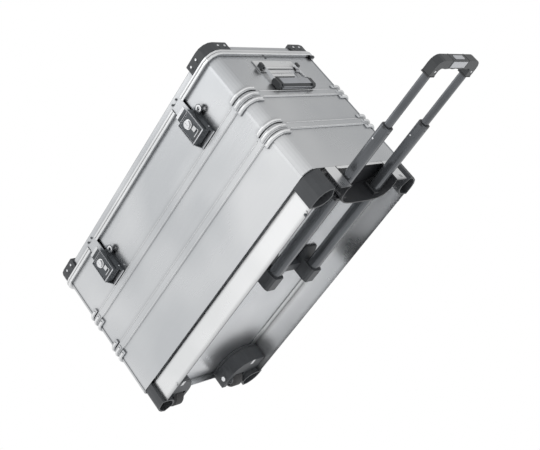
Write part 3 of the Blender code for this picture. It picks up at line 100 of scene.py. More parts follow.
class Look:
    """A material that is built node by node."""

    def __init__(self, name, colour, roughness, metallic=0.0, **constants):
        self.material = bpy.data.materials.new(name)
        self.material.use_nodes = True
        self.tree = self.material.node_tree
        self.shader = self.tree.nodes["Principled BSDF"]
        self.feed("Base Color", (*colour, 1))
        self.feed("Roughness", roughness)
        self.feed("Metallic", metallic)
        for socket, value in constants.items():
            self.feed(socket.replace("_", " "), value)

    def node(self, kind, settings=None, inputs=None, output=0):
        """Adds one node: settings first, then the values or wires of its sockets."""
        made = self.tree.nodes.new(kind)
        for key, value in (settings or {}).items():
            if key == "stops":
                self.ramp(made, value)
            else:
                setattr(made, key, value)
        for key, value in (inputs or {}).items():
            if isinstance(value, Wire):
                self.tree.links.new(value.socket, made.inputs[key])
            else:
                made.inputs[key].default_value = value
        return Wire(self, made.outputs[output])

    def ramp(self, made, stops):
        elements = made.color_ramp.elements
        while len(elements) < len(stops):
            elements.new(1)
        for element, (place, level) in zip(elements, stops):
            element.position = place
            element.color = (level, level, level, 1)

    def feed(self, socket, value):
        if isinstance(value, Wire):
            self.tree.links.new(value.socket, self.shader.inputs[socket])
        else:
            self.shader.inputs[socket].default_value = value

    def place(self, scale=(1, 1, 1)):
        """Object coordinates, stretched."""
        spot = self.node("ShaderNodeTexCoord", output="Object")
        return self.node("ShaderNodeMapping", {}, {"Vector": spot, "Scale": scale})

    def noise(self, scale, detail=2.0, stretch=(1, 1, 1)):
        return self.node("ShaderNodeTexNoise", {},
                         {"Vector": self.place(stretch), "Scale": scale, "Detail": detail})

    def blend(self, mask, first, second):
        """A colour between two by a mask. Each may be a wire or a plain colour."""
        colours = [part if isinstance(part, Wire) else (*part, 1) for part in (first, second)]
        return self.node("ShaderNodeMix", {"data_type": "RGBA"}, {0: mask, 6: colours[0], 7: colours[1]}, 2)

    def painted_crevice_shade(self, distance):
        """Painted shade for the base colour: one deep in a crevice and zero in the open, from ambient
        occlusion.
        """
        seen = self.node("ShaderNodeAmbientOcclusion", {"samples": OCCLUSION_SAMPLES},
                         {"Distance": distance}, 1)
        return 1.0 - seen

    def bump(self, height, distance):
        self.feed("Normal", self.node("ShaderNodeBump", {}, {"Height": height, "Strength": 1.0,
                                                             "Distance": distance}))


print("shader helpers ready: Wire and Look")

# %% [markdown]
# The walls are rolled aluminium sheet. Real sheet is never one flat grey: it has broad soft
# clouds where it was pressed and handled, and very fine rolling lines along its length. Broad
# noise moves its colour and roughness a little, and a stretched fine noise gives the lines.
# An occlusion mask paints shade into the crevices round its ribs and beads, as a dark colour.
# Each finish gives its two greys, its roughness, the height of its lines and their run.

# %% Aluminium
CLOUD_SCALE, CLOUD_DETAIL, CLOUD_STOPS = 3.6, 2.0, ((0.36, 0.0), (0.64, 1.0))
GRAIN_SCALE, GRAIN_DETAIL = 240.0, 2.0
CLOUD_SHARE, GRAIN_SHARE = 0.85, 0.15
CLOUD_ROUGH, GRAIN_ROUGH, ROUGH_START = 0.08, 0.03, -0.05
PAINTED_SHADE_REACH = 0.012
PAINTED_SHADE_COLOUR = (0.05, 0.053, 0.06)
ALONG_X, ALONG_Z, ROUND_THE_RIM = (0.05, 1, 1), (1, 1, 0.08), (0.03, 0.03, 3)


def aluminium(name, dark, light, roughness, lines, stretch):
    look = Look(name, light, roughness, 1.0)
    noise = look.noise(CLOUD_SCALE, CLOUD_DETAIL)
    grain = look.noise(GRAIN_SCALE, GRAIN_DETAIL, stretch)
    clouds = look.node("ShaderNodeValToRGB", {"stops": CLOUD_STOPS}, {"Fac": noise})
    sheet = look.blend(clouds * CLOUD_SHARE + grain * GRAIN_SHARE, dark, light)
    # Painted shade: the occlusion mask darkens the base colour in the crevices.
    look.feed("Base Color", look.blend(look.painted_crevice_shade(PAINTED_SHADE_REACH), sheet, PAINTED_SHADE_COLOUR))
    look.feed("Roughness", roughness + ROUGH_START + clouds * CLOUD_ROUGH + grain * GRAIN_ROUGH)
    look.bump(grain, lines)
    return look.material


SHEET_METAL = aluminium("rolled_sheet", (0.52, 0.535, 0.552), (0.67, 0.68, 0.69), 0.27, 0.000004, ALONG_X)
FLOOR_METAL = aluminium("floor_sheet", (0.56, 0.575, 0.595), (0.72, 0.73, 0.745), 0.30, 0.00001, ALONG_X)
RIM_METAL = aluminium("drawn_rim", (0.72, 0.73, 0.74), (0.86, 0.865, 0.87), 0.24, 0.000006, ROUND_THE_RIM)
STRIP_METAL = aluminium("bent_strip", (0.74, 0.75, 0.755), (0.86, 0.865, 0.87), 0.28, 0.00001, ALONG_Z)
print("aluminium finishes:", SHEET_METAL.name, FLOOR_METAL.name, RIM_METAL.name, STRIP_METAL.name)

# %% [markdown]
# Corners, feet and grips are moulded plastic with a spark-eroded texture: tiny even pits, a
# slightly glossier look where hands and floors have rubbed it, and a little dust grey. One
# coarse noise is the wear and one fine noise the pits. Each plastic gives its two greys, its
# roughness and the depth of its pits in metres.

# %% Moulded plastics
PLASTIC_IOR = 1.49
WEAR_SCALE, WEAR_DETAIL, WEAR_ROUGH = 28.0, 4.0, 0.16
PIT_SCALE, SEAL_PIT_SCALE = 900.0, 500.0


def moulded(name, dark, light, roughness, pit, pit_scale=PIT_SCALE):
    look = Look(name, light, roughness, 0.0, IOR=PLASTIC_IOR)
    wear = look.noise(WEAR_SCALE, WEAR_DETAIL)
    pits = look.noise(pit_scale)
    look.feed("Base Color", look.blend(wear, dark, light))
    look.feed("Roughness", roughness - WEAR_ROUGH / 2 + wear * WEAR_ROUGH)
    look.bump(pits, pit)
    return look.material


CORNER_PLASTIC = moulded("corner_plastic", (0.030, 0.033, 0.036), (0.060, 0.064, 0.070), 0.48, 0.00008)
# The bowl plastic is darker than the corners'; in the deep handle bowl that extra dark is partly painted
# shade.
BOWL_PLASTIC = moulded("bowl_plastic", (0.014, 0.015, 0.017), (0.030, 0.032, 0.036), 0.42, 0.00006)
GRIP_PLASTIC = moulded("grip_plastic", (0.022, 0.024, 0.026), (0.044, 0.047, 0.051), 0.38, 0.00008)
BUTTON_PLASTIC = moulded("button_plastic", (0.38, 0.39, 0.41), (0.52, 0.53, 0.55), 0.36, 0.00003)
HUB_PLASTIC = moulded("hub_plastic", (0.26, 0.27, 0.29), (0.38, 0.39, 0.41), 0.42, 0.00004)
SEAL_RUBBER = moulded("seal_rubber", (0.018, 0.018, 0.019), (0.034, 0.034, 0.036), 0.74, 0.0001,
                      SEAL_PIT_SCALE)
print("plastics:", CORNER_PLASTIC.name, BOWL_PLASTIC.name, GRIP_PLASTIC.name, BUTTON_PLASTIC.name)

# %% [markdown]
# The tyres are solid rubber, dusty and matt, with grooves round the tread. A wave texture across
# the tread gives the grooves as bump.

# %% Tyre rubber
DUST_SCALE, DUST_DETAIL, DUST_ROUGH = 60.0, 4.0, 0.2
GROOVE_SCALE, GROOVE_SHARE, GROOVE_DEPTH = 44.0, 0.8, 0.0007
TYRE_CLEAN_ROUGH, TYRE_ROUGH = 0.62, 0.7
TYRE_DARK, TYRE_MIDDLE, TYRE_LIGHT = (0.020, 0.020, 0.021), (0.03, 0.03, 0.032), (0.052, 0.052, 0.055)


def tyre_rubber():
    """Rubber with grooves round the tread."""
    look = Look("tyre_rubber", TYRE_MIDDLE, TYRE_ROUGH)
    dust = look.noise(DUST_SCALE, DUST_DETAIL)
    grooves = look.node("ShaderNodeTexWave", {"bands_direction": "Y"},
                        {"Vector": look.place(), "Scale": GROOVE_SCALE, "Distortion": 0.0})
    look.feed("Base Color", look.blend(dust, TYRE_DARK, TYRE_LIGHT))
    look.feed("Roughness", TYRE_CLEAN_ROUGH + dust * DUST_ROUGH)
    look.bump(grooves * GROOVE_SHARE + dust * (1 - GROOVE_SHARE), GROOVE_DEPTH)
    return look.material


TYRE_RUBBER = tyre_rubber()
print("rubber:", SEAL_RUBBER.name, TYRE_RUBBER.name)

# %% [markdown]
# The latches and tubes are steel and aluminium under a dark coat. It is smoother than the
# plastic, fine drawing lines run along the tubes, and where the coat is rubbed it looks a
# little more like bare metal.

# %% Coated metal
DRAWN_SCALE, DRAWN_SHARE, DRAWN_DEPTH = 320.0, 0.4, 0.00002
RUB_SCALE, RUB_DETAIL, RUB_ROUGH, RUB_START = 18.0, 4.0, 0.12, -0.05
COAT_METAL, COAT_METAL_GAIN = 0.45, 0.2
LATCH_LINES, TUBE_LINES = (1, 1, 0.1), (0.03, 1, 1)


def coated(name, dark, light, roughness, stretch):
    look = Look(name, light, roughness, COAT_METAL + COAT_METAL_GAIN / 2)
    lines = look.noise(DRAWN_SCALE, stretch=stretch)
    rub = look.noise(RUB_SCALE, RUB_DETAIL)
    look.feed("Base Color", look.blend(rub * (1 - DRAWN_SHARE) + lines * DRAWN_SHARE, dark, light))
    look.feed("Roughness", roughness + RUB_START + rub * RUB_ROUGH)
    look.feed("Metallic", COAT_METAL + rub * COAT_METAL_GAIN)
    look.bump(lines, DRAWN_DEPTH)
    return look.material


LATCH_COAT = coated("latch_coat", (0.050, 0.056, 0.062), (0.105, 0.113, 0.122), 0.36, LATCH_LINES)
TUBE_COAT = coated("tube_coat", (0.050, 0.054, 0.060), (0.160, 0.168, 0.180), 0.16, TUBE_LINES)
print("coats:", LATCH_COAT.name, TUBE_COAT.name)

# %% [markdown]
# Rivets, hooks and locks are plated. Plating is even and bright, so only a faint haze moves its
# colour and roughness.

# %% Plated metal
HAZE_SCALE, HAZE_DETAIL, HAZE_ROUGH, HAZE_DIM = 45.0, 3.0, 0.08, 0.86
PEEL_SCALE, PEEL_DEPTH = 700.0, 0.00001


def plated(name, colour, roughness):
    look = Look(name, colour, roughness, 1.0)
    haze = look.noise(HAZE_SCALE, HAZE_DETAIL)
    look.feed("Base Color", look.blend(haze, [part * HAZE_DIM for part in colour], colour))
    look.feed("Roughness", roughness + haze * HAZE_ROUGH)
    look.bump(look.noise(PEEL_SCALE), PEEL_DEPTH)
    return look.material


STEEL = plated("plated_steel", (0.76, 0.77, 0.785), 0.20)
CHROME = plated("polished_chrome", (0.88, 0.885, 0.895), 0.08)
print("plating:", STEEL.name, CHROME.name)

# %% [markdown]
# The frame's pieces keep their shapes and only change their material. One table says which
# finish each piece wears; the longest matching start of a name decides.

# %% Dress the frame
FINISHES = {
    "body_shell": SHEET_METAL, "lid_shell": SHEET_METAL, "strike": SHEET_METAL, "bottom_panel": FLOOR_METAL,
    "front_skirt": STRIP_METAL, "back_skirt": STRIP_METAL, "end_strip": STRIP_METAL,
    "handle_plate": STRIP_METAL, "body_rim": RIM_METAL, "lid_rim": RIM_METAL, "lid_seal": SEAL_RUBBER,
    "lid_protector": CORNER_PLASTIC, "corner_foot": CORNER_PLASTIC, "wheel_housing": CORNER_PLASTIC,
    "tube_bracket": CORNER_PLASTIC, "handle_bowl": BOWL_PLASTIC, "handle_grip": GRIP_PLASTIC,
    "tow_grip": GRIP_PLASTIC, "release_button": BUTTON_PLASTIC, "latch_base": LATCH_COAT,
    "latch_lever": LATCH_COAT, "latch_hook": STEEL, "latch_pin": STEEL, "key_cylinder": CHROME,
    "hinge": STEEL, "handle_bail": STEEL, "outer_tube": TUBE_COAT, "middle_tube": TUBE_COAT,
    "inner_tube": TUBE_COAT, "wheel_tyre": TYRE_RUBBER, "wheel_hub": HUB_PLASTIC, "wheel_axle": STEEL,
}
for name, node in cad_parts.items():
    start = max((key for key in FINISHES if name.startswith(key)), key=len)
    for holder in node.material_slots:
        holder.material = FINISHES[start]
    if not node.material_slots:
        node.data.materials.append(FINISHES[start])
print("dressed", len(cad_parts), "pieces of the frame")

# %% [markdown]
# Every fitting below starts as a primitive at its size and place, is shaped in edit mode, and
# ends the same way: its place goes into its mesh, it gets a finish, and it rides on the body
# that carries it. These first helpers hold those steps.

# %% Selecting and settling
SMOOTH_ANGLE = math.radians(35)


def clear_selection():
    if bpy.context.object and bpy.context.object.mode != "OBJECT":
        bpy.ops.object.mode_set(mode="OBJECT")
    bpy.ops.object.select_all(action="DESELECT")


def choose(piece, test):
    """Selects, in edit mode, the faces whose centre and normal pass a test."""
    bpy.ops.object.mode_set(mode="OBJECT")
    for group in (piece.data.vertices, piece.data.edges):
        for part in group:
            part.select = False
    for face in piece.data.polygons:
        face.select = test(face.center, face.normal)
    bpy.ops.object.mode_set(mode="EDIT")
    bpy.ops.mesh.select_mode(type="FACE")


def choose_all():
    """Selects everything on the active piece, in edit mode."""
    bpy.ops.object.mode_set(mode="EDIT")
    bpy.ops.mesh.select_all(action="SELECT")


def bake_place(piece):
    """Puts the place, turn and size of a piece into its mesh."""
    clear_selection()
    piece.select_set(True)
    bpy.context.view_layer.objects.active = piece
    bpy.ops.object.transform_apply(location=True, rotation=True, scale=True)


def bake_scale():
    bpy.ops.object.transform_apply(location=False, rotation=False, scale=True)


def settle(piece, name, finish, body):
    """Names a finished piece, dresses it and hangs it on its body."""
    bake_place(piece)
    bpy.ops.object.shade_smooth_by_angle(angle=SMOOTH_ANGLE)
    piece.name = piece.data.name = name
    piece.data.materials.clear()
    piece.data.materials.append(finish)
    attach(piece, body)


print("pieces are smoothed below", round(math.degrees(SMOOTH_ANGLE)), "degrees")

# %% [markdown]
# Most small fittings are one of four things: a rounded block, a low head such as a rivet's, a
# thin rectangular frame, or a flat ring. Each has a helper that models it once by operators.
# What repeats is copied, each copy with its own mesh, and joined.

# %% Blocks, heads, frames and rings
SOFT_STEPS = 2
HEAD_SIDES, HEAD_ROUND, HEAD_STEPS = 20, 0.55, 3
DISH_RIM = 0.35
UPWARD, STRAIGHT_UP = 0.9, 0.99
CURVE_STEPS = 5
FRONT, BACK, DOWN = (0, -1, 0), (0, 1, 0), (0, 0, -1)
TOW_END, WHEEL_END = (1, 0, 0), (-1, 0, 0)


def facing(outward):
    return Vector((0, 0, 1)).rotation_difference(Vector(outward)).to_matrix().to_4x4()


def block(low, high, edge):
    """A box between two points with all its edges rounded."""
    low, high = Vector(low), Vector(high)
    clear_selection()
    bpy.ops.mesh.primitive_cube_add(size=1, location=(low + high) / 2)
    piece = bpy.context.object
    piece.scale = [abs(part) for part in high - low]
    bake_scale()
    choose_all()
    bpy.ops.mesh.bevel(offset=edge * MM, segments=SOFT_STEPS)
    bpy.ops.object.mode_set(mode="OBJECT")
    return piece


def join(pieces):
    """Several pieces made one."""
    for piece in pieces:
        bake_place(piece)
    clear_selection()
    for piece in pieces:
        piece.select_set(True)
    bpy.context.view_layer.objects.active = pieces[0]
    if len(pieces) > 1:
        bpy.ops.object.join()
    return bpy.context.object


def head(radius, height, sides=HEAD_SIDES, dish=0.0):
    """A low round head that stands on the origin, its top edge rounded and its top dished."""
    clear_selection()
    bpy.ops.mesh.primitive_cylinder_add(vertices=sides, radius=radius * MM, depth=height * MM,
                                        location=(0, 0, height * MM / 2))
    piece = bpy.context.object
    choose(piece, lambda centre, normal: normal.z > UPWARD)
    bpy.ops.mesh.bevel(offset=height * MM * HEAD_ROUND, segments=HEAD_STEPS)
    if dish:
        choose(piece, lambda centre, normal: normal.z > STRAIGHT_UP)
        bpy.ops.mesh.inset(thickness=radius * MM * DISH_RIM)
        bpy.ops.transform.translate(value=(0, 0, -dish * MM))
    bpy.ops.object.mode_set(mode="OBJECT")
    bake_place(piece)
    return piece


def scatter(pattern, spots):
    """Copies of one pattern at each (point, outward) pair, joined."""
    copies = []
    for point, outward in spots:
        copy = pattern.copy()
        copy.data = pattern.data.copy()
        copy.matrix_world = Matrix.Translation(point) @ facing(outward)
        bpy.context.scene.collection.objects.link(copy)
        copies.append(copy)
    bpy.data.objects.remove(pattern)
    return join(copies)


def open_up(piece, centre, outward, band, thick):
    """Insets a flat piece by its band, takes out its middle, and thickens and places the rest."""
    choose_all()
    bpy.ops.mesh.inset(thickness=band * MM)
    bpy.ops.mesh.delete(type="FACE")
    bpy.ops.object.mode_set(mode="OBJECT")
    solid = piece.modifiers.new("thick", "SOLIDIFY")
    solid.thickness = thick * MM
    solid.offset = 1
    bpy.ops.object.modifier_apply(modifier=solid.name)
    piece.matrix_world = Matrix.Translation(centre) @ facing(outward)
    return piece


def window(centre, outward, size, band, thick, curve=0.0):
    """A thin rectangular frame, its corners rounded by curve."""
    clear_selection()
    bpy.ops.mesh.primitive_plane_add(size=1)
    piece = bpy.context.object
    piece.scale = (size[0] * MM, size[1] * MM, 1)
    bake_scale()
    if curve:
        choose_all()
        bpy.ops.mesh.bevel(offset=curve * MM, segments=CURVE_STEPS, affect="VERTICES")
    return open_up(piece, centre, outward, band, thick)


def washer(centre, outward, radius, band, thick, sides):
    """A flat ring."""
    clear_selection()
    bpy.ops.mesh.primitive_circle_add(vertices=sides, radius=radius * MM, fill_type="NGON")
    return open_up(bpy.context.object, centre, outward, band, thick)


print("helpers ready: block, head, window and washer")

# %% [markdown]
# Two rivets hold each leg of a black lid corner, and their bright heads catch the light in the
# photograph. One dished head is modelled and copied to all sixteen places.

# %% Lid corner rivets
LENGTH, WIDTH = 756, 350
CORNER_RIVETS = (36, 57)
CORNER_FACE = 4.5
CORNER_RIVET_Z = 428
CORNER_RIVET = {"radius": 3.0, "height": 1.4, "dish": 0.5}

spots = []
for far_x in (0, 1):
    for far_y in (0, 1):
        side_x, side_y = 2 * far_x - 1, 2 * far_y - 1
        face_x, face_y = LENGTH * far_x + CORNER_FACE * side_x, WIDTH * far_y + CORNER_FACE * side_y
        for reach in CORNER_RIVETS:
            x = LENGTH - reach if far_x else reach
            y = WIDTH - reach if far_y else reach
            spots.append((at(x, face_y, CORNER_RIVET_Z), (0, side_y, 0)))
            spots.append((at(face_x, y, CORNER_RIVET_Z), (side_x, 0, 0)))
settle(scatter(head(**CORNER_RIVET), spots), "lid_corner_rivets", STEEL, "lid")
print("lid corner rivets:", len(spots))

# %% [markdown]
# A latch is a dark pressed lever in a base plate. Its face has a bright bezel line that is
# widest at the bottom and a thinner line on its sunk floor. Both are thin frames, and a bar
# makes the wide bottom.

# %% Latch face
LATCHES = {"a": 165, "b": 614}
FACE_Y, FLOOR_Y = -26.5, -25.1
LEVER_LOW, LEVER_TOP = 299.5, 361.0
BEZEL_WIDTH, BEZEL_MARGIN, BEZEL_BAND, BEZEL_THICK = 45.4, 1.6, 0.7, 0.35
LINE_WIDTH, LINE_MARGIN, LINE_BAND, LINE_THICK = 40.4, 7.0, 0.6, 0.4
BAR_HALF, BAR_PROUD, BAR_SUNK = 22, 0.9, 0.3
BAR_LOW, BAR_HIGH, BAR_EDGE = 0.3, 2.2, 0.4
BEZEL = plated("bezel_metal", (0.62, 0.63, 0.65), 0.26)


def latch_face(label, x):
    """Bezel, bottom bar and inner line on the lever's face."""
    middle = (LEVER_LOW + LEVER_TOP) / 2
    tall = LEVER_TOP - LEVER_LOW
    rim = window(at(x, FACE_Y, middle), FRONT, (BEZEL_WIDTH, tall - BEZEL_MARGIN), BEZEL_BAND, BEZEL_THICK)
    line = window(at(x, FLOOR_Y, middle), FRONT, (LINE_WIDTH, tall - LINE_MARGIN), LINE_BAND, LINE_THICK)
    bar = block(at(x - BAR_HALF, FACE_Y - BAR_PROUD, LEVER_LOW + BAR_LOW),
                at(x + BAR_HALF, FACE_Y + BAR_SUNK, LEVER_LOW + BAR_HIGH), BAR_EDGE)
    settle(join([rim, line, bar]), f"latch_bezel_{label}", BEZEL, f"lever_{label}")


print("latches at", LATCHES)

# %% [markdown]
# In its pad the lever carries a light square, with a light streak and a short spur under it.
# Below them a shallow scoop takes the fingertip: a thin plate whose front is inset and pushed
# back.

# %% Latch square, streak and scoop
SQUARE_X, SQUARE_Y, SQUARE_Z = (-0.6, 10.6), (-27.1, -26.2), (315.8, 326.2)
STREAK_X, SPUR_X = (-9, 11), (9.2, 11.2)
STREAK_Y = (FLOOR_Y - 0.7, FLOOR_Y + 0.2)
STREAK_LOW, STREAK_TOP, SPUR_TOP = 309.0, 311.0, 319.0
SQUARE_EDGE, STREAK_EDGE = 0.4, 0.3
SCOOP_HALF, SCOOP_Z = 17, (303.4, 308.2)
SCOOP_Y = (FLOOR_Y - 0.6, FLOOR_Y + 0.2)
SCOOP_EDGE, SCOOP_RIM, SCOOP_DEPTH = 0.3, 0.8, 0.45
MARK = moulded("mark_plastic", (0.50, 0.51, 0.52), (0.70, 0.71, 0.72), 0.40, 0.00003)


def latch_marks(label, x):
    """The light square in its pad, and the streak and spur below it."""
    square = block(at(x + SQUARE_X[0], SQUARE_Y[0], SQUARE_Z[0]),
                   at(x + SQUARE_X[1], SQUARE_Y[1], SQUARE_Z[1]), SQUARE_EDGE)
    streak = block(at(x + STREAK_X[0], STREAK_Y[0], STREAK_LOW),
                   at(x + STREAK_X[1], STREAK_Y[1], STREAK_TOP), STREAK_EDGE)
    spur = block(at(x + SPUR_X[0], STREAK_Y[0], STREAK_LOW),
                 at(x + SPUR_X[1], STREAK_Y[1], SPUR_TOP), STREAK_EDGE)
    settle(join([square, streak, spur]), f"latch_marks_{label}", MARK, f"lever_{label}")


def latch_scoop(label, x):
    """The sunk finger pull at the bottom of the face."""
    piece = block(at(x - SCOOP_HALF, SCOOP_Y[0], SCOOP_Z[0]),
                  at(x + SCOOP_HALF, SCOOP_Y[1], SCOOP_Z[1]), SCOOP_EDGE)
    choose(piece, lambda centre, normal: normal.y < -UPWARD)
    bpy.ops.mesh.inset(thickness=SCOOP_RIM * MM)
    bpy.ops.transform.translate(value=(0, SCOOP_DEPTH * MM, 0))
    bpy.ops.object.mode_set(mode="OBJECT")
    settle(piece, f"latch_pull_{label}", CORNER_PLASTIC, f"lever_{label}")


print("the light square is", round(SQUARE_X[1] - SQUARE_X[0], 1), "mm wide")

# %% [markdown]
# The lock is a round cylinder. A turned chrome ring stands round it in the lever, and a thin
# steel rim lies on the plug itself, so that the rim turns with the key.

# %% Lock ring and rim
LOCK_ACROSS, LOCK_Z, LOCK_PROUD = -1, 340.5, 3.4
RING_RADIUS, RING_THICK, RING_PROUD, RING_FLAT = 10.3, 0.95, 0.4, 0.8
RING_SIDES, RING_STEPS = 40, 10
RIM_RADIUS, RIM_BAND, RIM_THICK, RIM_SIDES = 8.4, 1.5, 0.5, 32


def lock_ring(label, x):
    """A ring round the lock and a stepped rim on its plug."""
    clear_selection()
    bpy.ops.mesh.primitive_torus_add(major_radius=RING_RADIUS * MM, minor_radius=RING_THICK * MM,
                                     major_segments=RING_SIDES, minor_segments=RING_STEPS,
                                     location=at(x + LOCK_ACROSS, FLOOR_Y - RING_PROUD, LOCK_Z),
                                     rotation=(math.pi / 2, 0, 0))
    ring = bpy.context.object
    ring.scale.z = RING_FLAT
    settle(ring, f"lock_ring_{label}", CHROME, f"lever_{label}")
    rim = washer(at(x + LOCK_ACROSS, FACE_Y - LOCK_PROUD, LOCK_Z), FRONT, RIM_RADIUS, RIM_BAND, RIM_THICK,
                 RIM_SIDES)
    settle(rim, f"lock_rim_{label}", STEEL, f"key_{label}")


print("lock ring", 2 * RING_RADIUS, "mm across")

# %% [markdown]
# Between the lever and the bright top bar of the hook lies a dark ribbed cover. The base plate
# shows below the lever, with the same fine upright ribs. Both are thin plates with a row of
# narrow blocks. They stand less than a millimetre proud, so the hook's cover clears the lever
# when the latch opens.

# %% Ribbed cover and base tread
RIB_COUNT = 13
HOOK_ACROSS = -4
COVER = {"half": 16.4, "y": (-18.1, -17.6), "z": (364.0, 376.0), "edge": 0.15,
         "rib_reach": 15.2, "rib_half": 0.7, "rib_y": (-18.35, -18.0), "rib_z": (364.6, 375.4),
         "rib_edge": 0.12}
TREAD = {"half": 26, "y": (-2.9, -2.2), "z": (288.6, 299.2), "edge": 0.3,
         "rib_reach": 23, "rib_half": 0.9, "rib_y": (-3.5, -2.8), "rib_z": (289.6, 298.4),
         "rib_edge": 0.3}


def ribbed_plate(middle, form):
    """A thin plate that faces the front, with a row of upright ribs."""
    def slab(x, half, y, z, edge):
        return block(at(x - half, y[0], z[0]), at(x + half, y[1], z[1]), edge)

    parts = [slab(middle, form["half"], form["y"], form["z"], form["edge"])]
    pitch = 2 * form["rib_reach"] / (RIB_COUNT - 1)
    for i in range(RIB_COUNT):
        rib = middle - form["rib_reach"] + i * pitch
        parts.append(slab(rib, form["rib_half"], form["rib_y"], form["rib_z"], form["rib_edge"]))
    return join(parts)


def hook_ribs(label, x):
    cover = ribbed_plate(x + HOOK_ACROSS, COVER)
    settle(cover, f"hook_ribs_{label}", LATCH_COAT, f"hook_{label}")


def base_tread(label, x):
    settle(ribbed_plate(x, TREAD), f"latch_foot_{label}", BEZEL, "case")


print("ribs on each cover:", RIB_COUNT)

# %% [markdown]
# Beside each latch stands an eye for a padlock. A bright washer lies on it, and a dark lip runs
# round the washer. With that the latch is complete, and one loop dresses both.

# %% Padlock eye, and both latches
EYE_ACROSS, EYE_Y, EYE_Z, EYE_SIDES = 35.9, -10.2, 351, 36
EYE_WASHER, EYE_LIP = (8.6, 4.5, 0.5), (9.4, 0.9, 0.9)


def eye_plate(label, x):
    """A bright washer on the padlock eye, with a dark lip round it."""
    centre = at(x + EYE_ACROSS, EYE_Y, EYE_Z)
    bright, lip = [washer(centre, FRONT, *ring, EYE_SIDES) for ring in (EYE_WASHER, EYE_LIP)]
    settle(bright, f"eye_washer_{label}", STEEL, "case")
    settle(lip, f"eye_lip_{label}", LATCH_COAT, "case")


for label, x in LATCHES.items():
    for detail in (latch_face, latch_marks, latch_scoop, lock_ring, hook_ribs, eye_plate, base_tread):
        detail(label, x)
print("latches dressed:", ", ".join(LATCHES))

# %% [markdown]
# Three dark blind rivets fix each strike to the lid wall. In the photograph they are the small
# dark dots on the bright band above the latch.

# %% Strike rivets
STRIKE_SPOTS = ((-2, 420.5), (-19, 420.5), (-13.5, 415))
STRIKE_FACE = -1.0
STRIKE_RIVET = {"radius": 2.6, "height": 1.0, "sides": 16, "dish": 0.6}
spots = [(at(x + across, STRIKE_FACE, z), FRONT) for x in LATCHES.values() for across, z in STRIKE_SPOTS]
settle(scatter(head(**STRIKE_RIVET), spots), "strike_rivets", LATCH_COAT, "lid")
print("strike rivets:", len(spots))

# %% [markdown]
# The drop handles are the same at both ends, so each detail is placed by its distance out from
# the end wall and one loop serves both: black covers over the pivots and two bright ridges
# pressed in the plate. A ridge is given by its distances out, its middle and half width across
# the wall, its heights and the rounding of its edges.

# %% Drop handle plates
ENDS = {"tow_end": 1, "wheel_end": -1}
PIVOT_Z, PIVOT_SIDE = 357.7, 61.5
MIDDLE_Y = WIDTH / 2
COVER_OUT, COVER_HALF_Y, COVER_HALF_Z, COVER_EDGE = (2.6, 14.6), 4.2, 6.2, 1.4
UPPER_RIDGE = ((2.4, 5.6), MIDDLE_Y, 50, (352.5, 360), 1.5)
LOWER_RIDGE = ((2.4, 3.8), MIDDLE_Y, 44, (340, 344), 0.6)


def out_from_wall(side, distance):
    return LENGTH + distance if side > 0 else -distance


def end_block(side, out, y, half_y, z, edge):
    """A block on an end wall, from its nearest and farthest distance out."""
    left, right = sorted(out_from_wall(side, distance) for distance in out)
    return block(at(left, y - half_y, z[0]), at(right, y + half_y, z[1]), edge)


def plate_details(label, side):
    height = (PIVOT_Z - COVER_HALF_Z, PIVOT_Z + COVER_HALF_Z)
    covers = [end_block(side, COVER_OUT, MIDDLE_Y + sign * PIVOT_SIDE, COVER_HALF_Y, height, COVER_EDGE)
              for sign in (-1, 1)]
    settle(join(covers), f"pivot_covers_{label}", GRIP_PLASTIC, "case")
    ridges = [end_block(side, *UPPER_RIDGE), end_block(side, *LOWER_RIDGE)]
    settle(join(ridges), f"plate_ridges_{label}", RIM_METAL, "case")


print("drop handle pivots at z", PIVOT_Z)

# %% [markdown]
# The black grip carries a grey face on its outer side and grey flutes on its underside and its
# inner face; that grey is a painted reflection of light on those faces. A raised band stands near
# each end. All of it swings with the handle.

# %% Drop handle grips
GRIP_Z = (286.0, 314.0)
SHEEN_FACE = ((15.6, 16.5), MIDDLE_Y, 49, (292, 310), 0.4)
FLUTE_HALF, FLUTE_EDGE = 50, 0.3
UNDER_FLUTES, UNDER_WIDTH, UNDER_Z = (5.0, 9.4), 2.2, (285.9, 287.2)
INNER_FLUTES, INNER_HEIGHT, INNER_OUT = (293, 299, 305), 2.4, (0.6, 1.6)
BAND_SIDE, BAND_HALF, BAND_OUT, BAND_EDGE = 51.8, 0.9, (0.5, 16.6), 3.6


def grip_details(label, side):
    body = f"drop_handle_{label}"
    # Painted highlight: a grey face stands for the light caught on the grip's outer face.
    settle(end_block(side, *SHEEN_FACE), f"grip_sheen_face_{label}", HUB_PLASTIC, body)
    # Real flutes, painted grey as the reflection their faces catch.
    flutes = [end_block(side, (near, near + UNDER_WIDTH), MIDDLE_Y, FLUTE_HALF, UNDER_Z, FLUTE_EDGE)
              for near in UNDER_FLUTES]
    flutes += [end_block(side, INNER_OUT, MIDDLE_Y, FLUTE_HALF, (low, low + INNER_HEIGHT), FLUTE_EDGE)
               for low in INNER_FLUTES]
    settle(join(flutes), f"grip_flute_sheen_{label}", HUB_PLASTIC, body)
    bands = [end_block(side, BAND_OUT, MIDDLE_Y + sign * BAND_SIDE, BAND_HALF, GRIP_Z, BAND_EDGE)
             for sign in (-1, 1)]
    settle(join(bands), f"grip_bands_{label}", GRIP_PLASTIC, body)


for label, side in ENDS.items():
    plate_details(label, side)
    grip_details(label, side)
print("drop handles dressed:", ", ".join(ENDS))

# %% [markdown]
# Each middle tube of the tow handle ends in a black collar. Near it are a bright rivet on both
# sides and a dark disc of painted shade for the hole where a spring lock would sit. They stand only
# a hair proud, because the middle tubes slide right into the outer ones.

